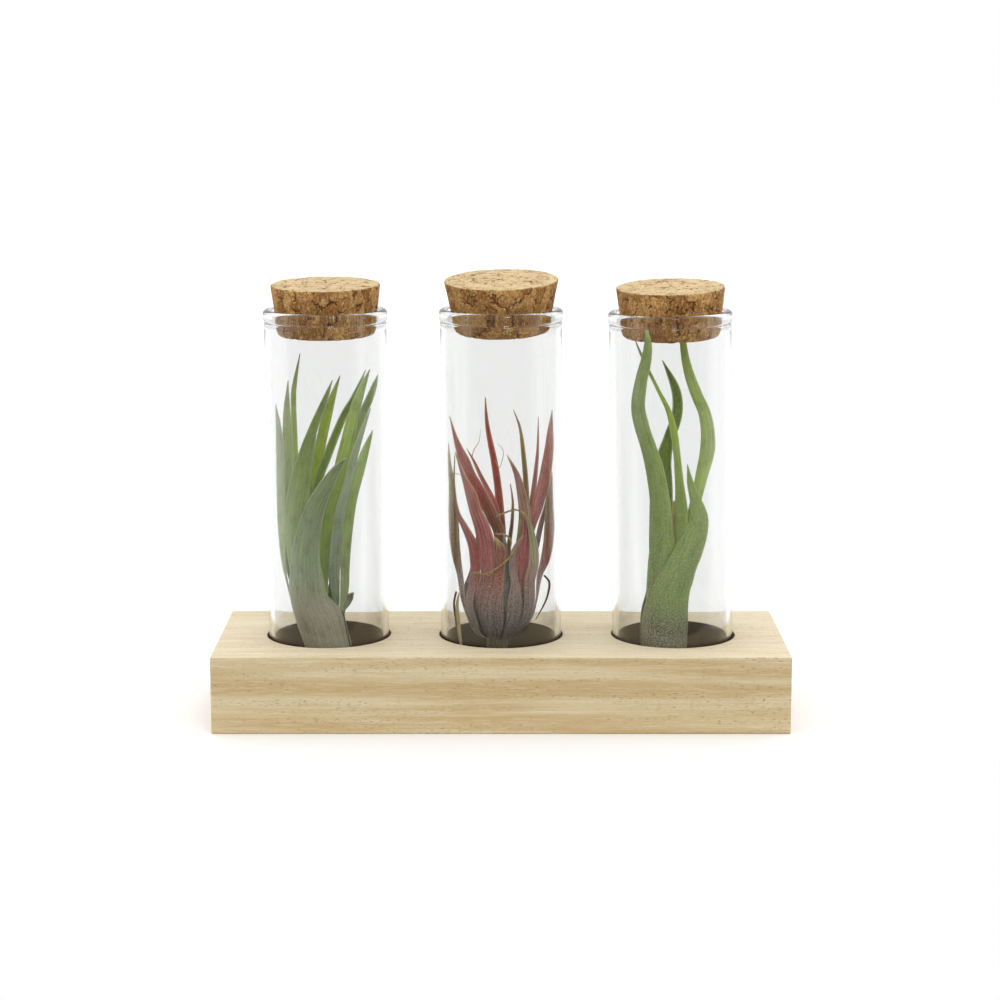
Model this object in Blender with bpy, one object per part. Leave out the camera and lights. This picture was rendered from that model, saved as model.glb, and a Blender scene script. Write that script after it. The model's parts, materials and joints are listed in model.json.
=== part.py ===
# Three air plants, each in its own corked glass tube, standing in one wooden block.
# Lengths are in millimetres and angles in degrees until a mesh is made, which is in metres.
# +X runs along the block, -Y is the front, +Z is up. The origin is the middle of the block's underside.

import math

import bmesh
import bpy
from mathutils import Vector

MM = 0.001
SEAT = 0.3  # clearance left where one piece rests on another

# Wooden block with three blind holes
BLOCK_LENGTH = 140.0
BLOCK_DEPTH = 50.0
BLOCK_HEIGHT = 19.0
BLOCK_EDGE = 0.35
HOLE_PITCH = 43.0
HOLE_RADIUS = 15.4
HOLE_DEPTH = 15.0
HOLE_SIDES = 48

# Glass tubes: blown from 30 mm tube stock, with a rolled rim that narrows the mouth
TUBE_RADIUS = 15.0
TUBE_WALL = 1.35
TUBE_FLOOR = 1.5
TUBE_CORNER = 2.2
RIM_HEIGHT = 3.1
RIM_PROUD = 0.25
RIM_ROUND = 0.9  # radius of the bead's corners
RIM_NECK = 0.9  # how far below the bead the bore starts to narrow
RIM_LIP = 0.4  # how far above the bead's foot the mouth is already at its width
MOUTH_RADIUS = 13.15
TUBE_CORNER_INSIDE = 1.5
TUBE_SIDES = 40

# One entry for each tube: height over all, and how far it leans to the left in its hole
TUBES = {
    "left": {"height": 96.1, "lean": 0.0},
    "middle": {"height": 96.2, "lean": 0.0},
    "right": {"height": 95.4, "lean": 1.1},
}
TUBE_X = {"left": -HOLE_PITCH, "middle": 0.0, "right": HOLE_PITCH}

# Corks: bottom and top radius, length, height of the underside above the block's underside,
# shift to the right of the tube's axis, tip to the front and lean to the left
CORK_SIDES = 32
CORK_EDGE = 0.5
CORK_SEATED = 6.0  # length of a cork that is inside its tube
CORKS = {
    "left": {"radii": (12.0, 13.4), "length": 12.3, "base": 94.3, "shift": 0.25, "tip": 2.9, "lean": 0.4},
    "middle": {"radii": (11.5, 13.95), "length": 12.8, "base": 95.0, "shift": 0.3, "tip": 5.6, "lean": 1.2},
    "right": {"radii": (12.0, 13.3), "length": 12.1, "base": 93.9, "shift": 0.1, "tip": 3.6, "lean": 1.5},
}

# Leaf build: how finely a leaf is cut along and across, and how thick it is
LEAF_RINGS = 10
LEAF_THICK = 0.5
LEAF_TIP = 0.12
LAYER_STEP = 0.95  # from one wrapped leaf base to the next one inside it

STEM_SIDES = 10
THREAD_RADIUS = 0.22
THREAD_SIDES = 6
SHARP_ANGLE = 40.0  # edges steeper than this stay sharp

COLOURS = {
    "wood": ((0.76, 0.68, 0.50), 0.6),
    "glass": ((0.90, 0.92, 0.92), 0.05),
    "cork": ((0.58, 0.40, 0.22), 0.9),
    "green_leaf": ((0.30, 0.42, 0.22), 0.6),
    "red_leaf": ((0.50, 0.16, 0.17), 0.6),
    "twist_leaf": ((0.33, 0.44, 0.18), 0.6),
    "dry_thread": ((0.42, 0.33, 0.16), 0.8),
    "stem": ((0.30, 0.26, 0.20), 0.8),
}


def clear_scene():
    for item in list(bpy.data.objects):
        bpy.data.objects.remove(item, do_unlink=True)


def material(name, kind):
    colour, roughness = COLOURS[kind]
    made = bpy.data.materials.new(name)
    made.use_nodes = True
    shader = made.node_tree.nodes["Principled BSDF"]
    shader.inputs["Base Color"].default_value = (*colour, 1.0)
    shader.inputs["Roughness"].default_value = roughness
    if kind == "glass":
        shader.inputs["Transmission Weight"].default_value = 1.0
    return made


def add_object(name, mesh, kind):
    made = bpy.data.objects.new(name, mesh)
    bpy.context.scene.collection.objects.link(made)
    mesh.materials.append(material(name, kind))
    mesh.shade_smooth()
    mesh.set_sharp_from_angle(angle=math.radians(SHARP_ANGLE))
    return made


def mesh_from(name, points, faces):
    mesh = bpy.data.meshes.new(name)
    mesh.from_pydata([Vector(point) * MM for point in points], [], faces)
    shape = bmesh.new()
    shape.from_mesh(mesh)
    bmesh.ops.recalc_face_normals(shape, faces=shape.faces)
    bmesh.ops.triangulate(shape, faces=[face for face in shape.faces if len(face.verts) > 4])
    shape.to_mesh(mesh)
    shape.free()
    return mesh


def turned(name, profile, sides):
    """A closed solid of revolution. The profile runs from the axis out and back to the axis."""
    points = []
    rows = []
    for radius, height in profile:
        if radius < 1e-6:
            rows.append([len(points)])
            points.append((0.0, 0.0, height))
            continue
        row = []
        for step in range(sides):
            angle = 2.0 * math.pi * step / sides
            row.append(len(points))
            points.append((radius * math.cos(angle), radius * math.sin(angle), height))
        rows.append(row)
    faces = []
    for low, high in zip(rows, rows[1:]):
        for step in range(sides):
            after = (step + 1) % sides
            corners = [low[step % len(low)], low[after % len(low)], high[after % len(high)], high[step % len(high)]]
            corners = list(dict.fromkeys(corners))
            faces.append(corners)
    return mesh_from(name, points, faces)


def arc(centre, radius, start, end, steps):
    """Points of a round corner in a turned profile, angles from the radius direction."""
    made = []
    for step in range(steps + 1):
        angle = math.radians(start + (end - start) * step / steps)
        made.append((centre[0] + radius * math.cos(angle), centre[1] + radius * math.sin(angle)))
    return made


def block():
    bpy.ops.mesh.primitive_cube_add(size=1.0, location=(0.0, 0.0, BLOCK_HEIGHT * MM / 2.0))
    made = bpy.context.object
    made.name = "wood_block"
    for vertex in made.data.vertices:
        vertex.co.x *= BLOCK_LENGTH * MM
        vertex.co.y *= BLOCK_DEPTH * MM
        vertex.co.z *= BLOCK_HEIGHT * MM
    edge = made.modifiers.new("soft_edges", "BEVEL")
    edge.width = BLOCK_EDGE * MM
    edge.segments = 2
    for side, centre in TUBE_X.items():
        hole_top = BLOCK_HEIGHT + 5.0
        hole_floor = BLOCK_HEIGHT - HOLE_DEPTH
        bpy.ops.mesh.primitive_cylinder_add(
            vertices=HOLE_SIDES,
            radius=HOLE_RADIUS * MM,
            depth=(hole_top - hole_floor) * MM,
            location=(centre * MM, 0.0, (hole_top + hole_floor) * MM / 2.0),
        )
        cutter = bpy.context.object
        cutter.name = side + "_hole_cutter"
        cutter.display_type = "WIRE"
        cutter.hide_render = True
        cut = made.modifiers.new(side + "_hole", "BOOLEAN")
        cut.operation = "DIFFERENCE"
        cut.object = cutter
    made.data.materials.append(material("wood_block", "wood"))
    return made


def tube(side):
    height = TUBES[side]["height"]
    lean = math.radians(TUBES[side]["lean"])
    inner = TUBE_RADIUS - TUBE_WALL
    rim_low = height - RIM_HEIGHT
    bead = TUBE_RADIUS + RIM_PROUD - RIM_ROUND
    profile = [(0.0, 0.0)]
    profile += arc((TUBE_RADIUS - TUBE_CORNER, TUBE_CORNER), TUBE_CORNER, -90.0, 0.0, 3)
    profile += [(TUBE_RADIUS, rim_low)]
    profile += arc((bead, rim_low + RIM_HEIGHT / 2.0), RIM_ROUND, -60.0, 60.0, 2)
    profile += arc((MOUTH_RADIUS + RIM_ROUND, height - RIM_ROUND), RIM_ROUND, 90.0, 180.0, 2)
    profile += [(MOUTH_RADIUS, rim_low + RIM_LIP)]
    profile += [(inner, rim_low - RIM_NECK)]
    corner_at = (inner - TUBE_CORNER_INSIDE, TUBE_FLOOR + TUBE_CORNER_INSIDE)
    profile += arc(corner_at, TUBE_CORNER_INSIDE, 0.0, -90.0, 2)
    profile += [(0.0, TUBE_FLOOR)]
    made = add_object(side + "_tube", turned(side + "_tube", profile, TUBE_SIDES), "glass")
    lift = BLOCK_HEIGHT - HOLE_DEPTH + SEAT + TUBE_RADIUS * math.sin(lean)
    slide = HOLE_DEPTH * math.sin(lean) / 2.0
    made.location = Vector((TUBE_X[side] + slide, 0.0, lift)) * MM
    made.rotation_euler = (0.0, -lean, 0.0)
    return made


def cork(side):
    spec = CORKS[side]
    low, high = spec["radii"]
    length = spec["length"]
    lean = math.radians(TUBES[side]["lean"])
    profile = [(0.0, 0.0), (low - CORK_EDGE, 0.0), (low, CORK_EDGE)]
    profile += [(high, length - CORK_EDGE), (high - CORK_EDGE, length), (0.0, length)]
    made = add_object(side + "_cork", turned(side + "_cork", profile, CORK_SIDES), "cork")
    axis_x = TUBE_X[side] - math.sin(lean) * (spec["base"] - BLOCK_HEIGHT)
    tip = math.radians(spec["tip"])
    made.location = Vector((axis_x + spec["shift"], CORK_SEATED * math.sin(tip), spec["base"])) * MM
    made.rotation_euler = (tip, math.radians(-spec["lean"]), 0.0)
    return made


def flow(stations, place):
    """A smooth value between stations (Catmull-Rom), for points, widths and angles alike."""
    last = len(stations) - 1
    index = min(int(place), last - 1)
    part = place - index
    before = stations[max(index - 1, 0)]
    here = stations[index]
    there = stations[index + 1]
    beyond = stations[min(index + 2, last)]
    values = []
    for a, b, c, d in zip(before, here, there, beyond):
        bend = (2.0 * b) + (c - a) * part
        bend += (2.0 * a - 5.0 * b + 4.0 * c - d) * part ** 2
        bend += (3.0 * b - a - 3.0 * c + d) * part ** 3
        values.append(bend / 2.0)
    return values


def even_places(stations, count):
    """Places along the stations that lie at even distances on the curve."""
    fine = 12 * (len(stations) - 1)
    places = [(len(stations) - 1) * step / fine for step in range(fine + 1)]
    spots = [Vector(flow(stations, place)[:3]) for place in places]
    run = [0.0]
    for low, high in zip(spots, spots[1:]):
        run.append(run[-1] + (high - low).length)
    made = []
    for step in range(count):
        wanted = run[-1] * step / (count - 1)
        index = next(i for i, value in enumerate(run) if value >= wanted - 1e-9)
        if index == 0:
            made.append(0.0)
            continue
        share = (wanted - run[index - 1]) / (run[index] - run[index - 1])
        made.append(places[index - 1] + share * (places[index] - places[index - 1]))
    return made


def leaf_mesh(name, stations, rings, thick, broad):
    """A thin pointed solid. Each station is x, y, z, width, half the angle its section curls, facing."""
    across = (-1.0, -0.5, 0.0, 0.5, 1.0) if broad else (-1.0, 0.0, 1.0)
    places = even_places(stations, rings)
    rows = []
    points = []
    for place in places:
        x, y, z, width, curl, facing = flow(stations, place)
        ahead = flow(stations, min(place + 0.02, len(stations) - 1))
        behind = flow(stations, max(place - 0.02, 0.0))
        along = (Vector(ahead[:3]) - Vector(behind[:3])).normalized()
        out = Vector((math.cos(math.radians(facing)), math.sin(math.radians(facing)), 0.0))
        out = (out - along * out.dot(along)).normalized()
        side = along.cross(out)
        width = max(width, 2.0 * LEAF_TIP)
        curl = math.radians(max(curl, 3.0))
        bow = width / 2.0 / math.sin(min(curl, math.pi / 2.0))
        depth = min(thick, 0.4 * width)
        outer = []
        inner = []
        for share in across:
            turn = share * curl
            spot = Vector((x, y, z)) + side * (bow * math.sin(turn)) - out * (bow * (1.0 - math.cos(turn)))
            normal = out * math.cos(turn) + side * math.sin(turn)
            half = depth / 2.0 * (1.0 - abs(share) ** 3)
            outer.append(spot + normal * half)
            if abs(share) < 1.0:
                inner.append(spot - normal * half)
        row = []
        for spot in outer + inner[::-1]:
            row.append(len(points))
            points.append(spot)
        rows.append(row)
    faces = [rows[0][::-1], rows[-1]]
    for low, high in zip(rows, rows[1:]):
        for step in range(len(low)):
            after = (step + 1) % len(low)
            faces.append([low[step], low[after], high[after], high[step]])
    return mesh_from(name, points, faces)


def thread_mesh(name, stations, rings):
    """A thin round thread through its stations (x, y, z)."""
    places = even_places(stations, rings)
    spots = [Vector(flow(stations, place)) for place in places]
    up = Vector((0.31, 0.95, 0.05)).normalized()
    points = []
    rows = []
    for index, spot in enumerate(spots):
        along = (spots[min(index + 1, rings - 1)] - spots[max(index - 1, 0)]).normalized()
        side = along.cross(up).normalized()
        up = side.cross(along).normalized()
        row = []
        for step in range(THREAD_SIDES):
            angle = 2.0 * math.pi * step / THREAD_SIDES
            row.append(len(points))
            points.append(spot + (side * math.cos(angle) + up * math.sin(angle)) * THREAD_RADIUS)
        rows.append(row)
    faces = [rows[0][::-1], rows[-1]]
    for low, high in zip(rows, rows[1:]):
        for step in range(THREAD_SIDES):
            after = (step + 1) % THREAD_SIDES
            faces.append([low[step], low[after], high[after], high[step]])
    return mesh_from(name, points, faces)


# The wrapped bases. A leaf base follows its plant's stem at a radius set by its layer, layer 0 outside.
STEMS = {
    "left": {
        "axis": [(1.6, 0.0, 7.4), (0.8, 0.0, 12.0), (-0.5, 0.0, 17.0), (-2.1, 0.0, 23.0)],
        "radius": [5.2, 5.5, 5.7, 6.0],
        "lift": [0.0, 0.0, 0.0, 0.0],
    },
    "middle": {
        "axis": [(-0.9, 0.0, 18.4), (-0.9, 0.0, 20.2), (-0.4, 0.0, 23.6), (-0.5, 0.0, 28.4)],
        "radius": [4.0, 6.1, 8.1, 9.5],
        "lift": [0.85, 0.7, 0.4, 0.1],
    },
    "right": {
        "axis": [(-2.2, 0.0, 6.7), (-2.3, 0.0, 12.0), (-2.3, 0.0, 18.0), (-2.1, 0.0, 25.0)],
        "radius": [5.3, 5.7, 5.9, 5.8],
        "lift": [0.0, 0.0, 0.0, 0.0],
    },
}


def wrapped_base(side, azimuth, layer, wrap, skip=0):
    """Stations of a leaf base that wraps its stem through twice the wrap angle."""
    stem = STEMS[side]
    facing = math.radians(azimuth)
    made = []
    for centre, radius, lift in zip(stem["axis"], stem["radius"], stem["lift"]):
        step = LAYER_STEP if side != "middle" else LAYER_STEP * min(1.0, radius / 9.0)
        reach = radius - step * layer
        x = centre[0] + reach * math.cos(facing)
        y = centre[1] + reach * math.sin(facing)
        width = 2.0 * reach * math.sin(math.radians(wrap))
        made.append((x, y, centre[2] + lift * layer, width, wrap, azimuth))
    return made[skip:]


def leaf(name, side, azimuth, layer, wrap, rise, face=None, cup=18.0, broad=True, rings=LEAF_RINGS, skip=0):
    """One leaf: its wrapped base, then the stations (x, y, z, width) that it rises through."""
    stations = wrapped_base(side, azimuth, layer, wrap, skip)
    face = azimuth if face is None else face
    for index, (x, y, z, width) in enumerate(rise):
        share = (index + 1) / len(rise)
        curl = wrap * (1.0 - share) ** 1.5 + cup * (1.0 - (1.0 - share) ** 1.5)
        facing = azimuth + (face - azimuth) * min(1.0, 2.0 * share)
        stations.append((x, y, z, width, curl, facing))
    stations = [(x + TUBE_X[side], y, z, width, curl, facing) for x, y, z, width, curl, facing in stations]
    kind = {"left": "green_leaf", "middle": "red_leaf", "right": "twist_leaf"}[side]
    return add_object(name, leaf_mesh(name, stations, rings, LEAF_THICK, broad), kind)


def thread(name, side, route, rings=12):
    stations = [(x + TUBE_X[side], y, z) for x, y, z in route]
    return add_object(name, thread_mesh(name, stations, rings), "dry_thread")


def stem(name, side, route):
    """A short stem that the leaf bases grow from. Each station is x, y, z, radius."""
    points = []
    rows = []
    for x, y, z, radius in route:
        row = []
        for step in range(STEM_SIDES):
            angle = 2.0 * math.pi * step / STEM_SIDES
            row.append(len(points))
            points.append((x + TUBE_X[side] + radius * math.cos(angle), y + radius * math.sin(angle), z))
        rows.append(row)
    faces = [rows[0][::-1], rows[-1]]
    for low, high in zip(rows, rows[1:]):
        for step in range(STEM_SIDES):
            after = (step + 1) % STEM_SIDES
            faces.append([low[step], low[after], high[after], high[step]])
    return add_object(name, mesh_from(name, points, faces), "stem")


def green_plant():
    stem("green_stem", "left", [(1.7, 0.0, 6.4, 1.4), (0.8, 0.0, 12.0, 1.6), (-0.5, 0.0, 17.0, 1.2)])
    leaf("green_leaf_front", "left", -95, 0, 75, [
        (-4.8, -6.3, 28.7, 9.5), (-5.2, -6.8, 35.0, 8.2), (-5.2, -7.0, 40.5, 7.0), (-4.1, -7.1, 46.8, 5.8),
        (-2.1, -7.0, 53.2, 4.6), (0.7, -6.6, 58.6, 3.3), (3.0, -6.3, 62.1, 2.0), (5.2, -6.0, 64.7, 0.2)],
        face=-92, rings=12)
    leaf("green_leaf_left_broad", "left", -128, 1, 44, [
        (-7.6, -3.9, 34.2, 5.1), (-7.9, -4.2, 42.4, 6.2), (-7.5, -4.2, 51.2, 6.3), (-6.3, -3.8, 58.7, 5.2),
        (-4.9, -3.4, 64.8, 4.0), (-3.2, -3.0, 71.0, 2.4), (-0.2, -2.6, 78.3, 1.5), (1.7, -2.2, 83.2, 0.2)],
        face=-100)
    leaf("green_leaf_back_bright", "left", 120, 1, 28, [
        (-6.0, 1.6, 33.6, 3.0), (-5.8, 1.2, 45.5, 3.2), (-4.5, 1.0, 55.6, 3.0), (-2.3, 1.0, 64.0, 2.7),
        (-0.4, 1.4, 72.2, 2.5), (1.2, 1.8, 77.8, 1.8), (3.3, 2.4, 83.7, 0.2)], face=95)
    leaf("green_leaf_middle_dark", "left", 61, 1, 25, [
        (-3.6, 0.4, 33.2, 2.6), (-3.8, -0.6, 42.1, 2.5), (-3.3, -1.2, 50.9, 2.5), (-2.0, -1.2, 58.3, 2.3),
        (0.1, -0.9, 64.0, 2.3), (4.0, -0.2, 73.5, 1.9), (6.6, 0.2, 78.0, 1.7), (9.7, 0.8, 85.3, 0.2)],
        face=75, broad=False)
    leaf("green_leaf_right_broad", "left", -62, 3, 36, [
        (-1.4, -2.7, 29.5, 3.4), (-1.0, -3.2, 38.5, 3.4), (0.2, -3.5, 49.0, 3.2), (1.9, -3.5, 54.6, 3.2),
        (3.7, -3.3, 62.1, 3.3), (5.3, -3.1, 68.2, 3.3), (6.7, -2.8, 74.4, 2.7), (8.4, -2.5, 80.0, 2.1),
        (10.8, -2.2, 85.9, 0.2)], face=-88)
    leaf("green_leaf_right_grey", "left", -45, 2, 32, [
        (1.9, -1.1, 27.5, 2.4), (1.85, -2.35, 31.5, 2.7), (1.85, -4.45, 38.0, 3.2), (3.3, -5.2, 49.9, 2.8),
        (5.3, -5.0, 57.6, 2.4), (6.8, -4.8, 64.3, 2.0), (8.5, -4.6, 69.7, 1.3), (10.9, -4.4, 76.6, 0.2)],
        face=-80)
    leaf("green_leaf_right_tall", "left", 67, 0, 23, [
        (1.4, 2.4, 32.6, 2.6), (1.7, 1.6, 42.7, 2.5), (2.9, 1.0, 52.8, 2.5), (4.5, 0.8, 61.4, 2.5),
        (6.5, 0.9, 67.9, 2.5), (8.6, 1.3, 73.6, 2.3), (10.5, 1.8, 77.7, 2.0), (12.1, 2.3, 81.6, 1.4),
        (13.0, 2.6, 84.0, 0.2)], face=70)
    leaf("green_leaf_right_outer", "left", -12, 1, 12, [
        (3.3, -1.2, 26.2, 2.4), (4.1, -1.2, 29.8, 3.2), (4.35, -1.8, 35.5, 2.9), (4.6, -2.9, 42.0, 3.1),
        (5.3, -3.4, 48.4, 2.8), (6.5, -3.9, 54.7, 2.5), (8.2, -4.1, 61.0, 2.4), (9.2, -4.2, 64.8, 2.1),
        (10.4, -4.3, 68.5, 1.2), (11.3, -4.4, 71.1, 0.2)], face=-75)
    leaf("green_leaf_right_stub", "left", 22, 0, 14, [
        (4.5, 2.0, 26.0, 2.8), (5.1, 1.7, 28.0, 2.2), (6.2, 1.3, 29.3, 0.2)], face=-70, broad=False, rings=8)
    leaf("green_leaf_left_outer", "left", 174, 0, 11, [
        (-10.2, -0.4, 31.6, 3.0), (-11.3, -0.9, 38.1, 3.6), (-11.6, -1.0, 45.7, 3.7),
        (-11.6, -1.1, 54.5, 3.6), (-11.6, -1.4, 64.5, 3.2), (-11.9, -1.4, 72.0, 2.0),
        (-12.4, -1.2, 77.2, 0.2)], face=232, broad=False, rings=16)
    leaf("green_leaf_left_second", "left", 168, 1, 14, [
        (-8.7, 0.9, 30.0, 2.5), (-10.1, 0.6, 37.7, 2.6), (-10.1, 0.6, 47.9, 2.6), (-10.0, 0.6, 59.3, 2.6),
        (-10.0, 0.8, 70.2, 2.4), (-9.9, 1.0, 76.7, 1.6), (-9.5, 1.2, 82.6, 0.2)], face=120, broad=False)
    leaf("green_leaf_left_tall", "left", 125, 0, 30, [
        (-7.0, 3.6, 29.5, 2.6), (-8.0, 3.8, 41.0, 2.2), (-8.2, 4.0, 52.4, 1.9), (-8.4, 4.2, 65.5, 1.6),
        (-8.6, 4.4, 77.5, 1.4), (-8.1, 4.6, 82.2, 1.1), (-6.8, 5.0, 88.8, 0.2)], face=100, broad=False)
    leaf("green_leaf_left_short", "left", 170, 2, 20, [
        (-6.8, -0.1, 31.0, 1.7), (-7.6, -0.5, 40.0, 1.6), (-8.0, -0.7, 50.0, 1.4), (-8.1, -0.6, 58.0, 1.0),
        (-8.2, -0.6, 65.5, 0.2)], face=200, broad=False)


def red_plant():
    stem("red_stem", "middle", [(-0.9, 0.0, 6.5, 2.2), (-0.9, 0.0, 12.0, 2.2), (-0.9, 0.0, 17.4, 2.8),
                                (-0.8, 0.0, 19.2, 1.7), (-0.7, 0.0, 24.0, 1.2)])
    leaf("red_leaf_front", "middle", -100, 0, 17, [
        (-0.7, -8.9, 35.8, 3.2), (-0.3, -8.6, 39.3, 2.8), (-0.1, -8.3, 42.4, 2.4), (-1.5, -8.0, 45.3, 0.2)])
    leaf("red_leaf_front_pink", "middle", -120, 1, 19, [
        (-3.6, -7.7, 35.1, 3.6), (-3.5, -7.4, 39.1, 4.3), (-3.8, -7.1, 43.3, 4.6), (-4.7, -6.8, 47.4, 4.1),
        (-6.2, -6.4, 51.4, 3.2), (-7.3, -6.2, 55.6, 3.0), (-8.8, -5.9, 59.5, 1.5), (-10.9, -5.5, 65.9, 0.2)],
        face=-110)
    leaf("red_leaf_front_speckled", "middle", -66, 0, 13, [
        (3.4, -8.4, 33.4, 2.4), (2.8, -8.2, 37.1, 1.9), (3.0, -8.0, 40.8, 1.7), (4.0, -7.9, 43.5, 1.2),
        (5.4, -7.8, 45.7, 0.2)])
    leaf("red_leaf_front_teal", "middle", -82, 1, 12, [
        (1.4, -7.4, 34.2, 2.2), (1.3, -7.0, 38.7, 1.6), (1.0, -6.7, 42.9, 1.0), (0.5, -6.4, 46.1, 0.2)], broad=False)
    leaf("red_leaf_right_front", "middle", -36, 0, 15, [
        (7.1, -6.4, 33.6, 4.0), (7.9, -6.3, 37.4, 3.4), (8.1, -6.1, 41.0, 2.6), (7.6, -6.0, 45.0, 1.9),
        (6.7, -5.8, 48.7, 1.1), (5.2, -5.6, 51.2, 0.2)], face=-60)
    leaf("red_leaf_right_pink", "middle", -50, 1, 18, [
        (5.1, -5.6, 34.4, 3.6), (5.3, -5.2, 38.6, 3.5), (5.8, -4.9, 42.8, 2.6), (6.1, -4.7, 46.8, 1.8),
        (5.4, -4.5, 50.8, 0.2)], face=-75)
    leaf("red_leaf_left_red", "middle", -140, 0, 9, [
        (-6.6, -4.9, 34.6, 3.0), (-6.4, -4.9, 38.6, 3.3), (-7.0, -5.0, 42.8, 2.8), (-8.7, -4.8, 46.8, 1.9),
        (-10.6, -4.4, 51.0, 1.2), (-11.3, -4.2, 57.4, 0.6), (-11.1, -4.0, 64.9, 0.2)], face=-115)
    leaf("red_leaf_left_outer", "middle", -159, 0, 10, [
        (-10.1, -2.6, 34.0, 2.8), (-10.8, -2.9, 38.1, 2.7), (-11.3, -3.0, 42.4, 2.6),
        (-11.5, -2.8, 46.4, 2.5), (-11.7, -2.6, 50.6, 2.3), (-12.0, -2.3, 56.8, 1.6),
        (-12.6, -2.0, 63.1, 0.8), (-12.8, -1.8, 67.5, 0.2)], face=-95)
    leaf("red_leaf_left_long", "middle", -150, 3, 24, [
        (-1.6, -4.4, 38.7, 3.3), (-0.6, -4.7, 45.0, 3.6), (-2.1, -4.5, 49.3, 3.5), (-4.1, -4.3, 53.5, 3.2),
        (-5.7, -4.0, 56.7, 2.8), (-7.5, -3.7, 59.9, 2.7), (-8.9, -3.4, 63.3, 2.6), (-10.2, -3.1, 66.5, 1.8),
        (-11.3, -2.9, 70.0, 0.9), (-12.4, -2.6, 74.3, 0.2)], face=-95)
    leaf("red_leaf_left_inner", "middle", 168, 2, 18, [
        (-2.0, -1.8, 40.0, 2.0), (-0.6, -2.2, 47.1, 2.0), (-1.2, -2.2, 51.4, 2.0), (-2.7, -2.1, 54.8, 1.9),
        (-4.8, -1.8, 58.8, 1.7), (-6.7, -1.5, 63.0, 1.0), (-8.5, -1.2, 66.2, 0.2)], face=150)
    leaf("red_leaf_tall", "middle", 112, 0, 25, [
        (-0.6, 6.4, 37.6, 3.2), (0.0, 4.6, 43.4, 2.4), (-0.2, 3.2, 49.0, 2.1), (-0.8, 2.4, 56.0, 1.9),
        (-1.7, 2.0, 62.3, 1.7), (-3.4, 1.8, 71.3, 1.1), (-3.9, 1.8, 78.4, 0.2)], face=95)
    leaf("red_leaf_back_thin", "middle", 62, 0, 21, [
        (4.6, 6.4, 37.2, 3.0), (6.2, 5.6, 44.8, 2.2), (6.4, 5.2, 54.4, 1.5), (5.7, 5.0, 63.4, 1.2),
        (4.8, 4.8, 70.2, 0.7), (3.1, 4.8, 74.9, 0.2)], face=80)
    leaf("red_leaf_back_straight", "middle", 45, 1, 17, [
        (6.0, 2.2, 37.6, 2.6), (6.8, 2.0, 45.2, 2.0), (7.8, 2.0, 52.2, 1.6), (8.6, 2.0, 58.5, 1.3),
        (9.2, 2.0, 65.5, 0.8), (9.3, 2.0, 73.6, 0.2)], face=60)
    leaf("red_leaf_right_tall", "middle", -8, 2, 18, [
        (6.4, -1.4, 38.1, 2.5), (7.5, -1.6, 45.0, 2.4), (8.9, -2.0, 51.1, 3.3), (10.6, -1.9, 57.8, 3.2),
        (11.8, -1.8, 65.5, 2.6), (12.1, -1.8, 70.7, 1.6), (12.5, -1.6, 75.7, 0.2)], face=-70)
    leaf("red_leaf_right_outer", "middle", -9, 0, 10, [
        (9.6, -2.4, 34.0, 3.0), (10.8, -3.0, 38.0, 3.0), (11.5, -3.2, 42.4, 2.6), (11.8, -3.0, 46.9, 2.4),
        (11.8, -2.8, 51.2, 2.0), (12.0, -2.8, 54.9, 1.3), (12.4, -2.6, 60.4, 0.2)], face=-85)
    leaf("red_leaf_right_thin", "middle", 14, 1, 10, [
        (8.2, 1.0, 36.7, 2.2), (9.1, 0.4, 41.7, 1.9), (10.0, 0.0, 46.8, 1.6), (11.4, 0.0, 52.3, 1.1),
        (11.8, 0.0, 56.1, 0.2)], face=-60, broad=False)
    leaf("red_leaf_centre_upper", "middle", -60, 3, 20, [
        (4.2, -3.1, 38.4, 2.7), (5.3, -3.4, 44.2, 2.9), (5.9, -3.2, 49.5, 3.1), (5.3, -3.1, 54.0, 2.5),
        (3.8, -3.0, 60.0, 1.4), (1.5, -2.8, 64.7, 0.2)], face=-85)
    leaf("red_leaf_centre_small", "middle", 90, 4, 20, [
        (1.6, 0.2, 38.0, 1.4), (2.1, -0.6, 42.8, 1.1), (2.7, -0.8, 47.3, 0.9), (2.9, -0.8, 52.6, 0.6),
        (2.3, -0.8, 57.2, 0.2)], face=90, broad=False)
    leaf("red_leaf_back_left", "middle", 156, 0, 15, [
        (-7.6, 4.6, 34.0, 2.6), (-6.4, 5.2, 40.0, 2.0), (-5.6, 5.6, 46.0, 1.2), (-4.6, 6.0, 51.0, 0.2)],
        broad=False)
    leaf("red_leaf_dry", "middle", 220, 0, 10, [
        (-10.2, -4.3, 30.4, 0.5), (-10.7, -4.5, 27.0, 1.2), (-10.4, -4.4, 22.4, 1.4), (-9.9, -4.0, 17.6, 1.1),
        (-9.4, -3.4, 12.6, 0.2)], broad=False, rings=8, skip=len(STEMS["middle"]["axis"]))
    thread("red_root_left", "middle", [
        (-10.9, -3.6, 30.6), (-11.4, -3.4, 27.6), (-11.3, -2.6, 24.4), (-11.0, -1.8, 20.6), (-10.4, -0.6, 14.0),
        (-8.0, 0.4, 8.0)])
    thread("red_root_right", "middle", [
        (10.4, -5.0, 35.0), (11.6, -5.0, 33.2), (11.2, -5.2, 30.2), (10.0, -5.4, 26.8), (8.4, -6.0, 24.0)])
    thread("red_strand_crossing", "middle", [
        (-8.2, -6.6, 33.6), (-6.6, -8.6, 36.4), (-3.7, -9.6, 36.2), (-1.4, -9.8, 37.6), (1.9, -9.6, 40.3),
        (3.6, -9.0, 43.0), (5.0, -8.4, 45.2)], rings=14)
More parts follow.
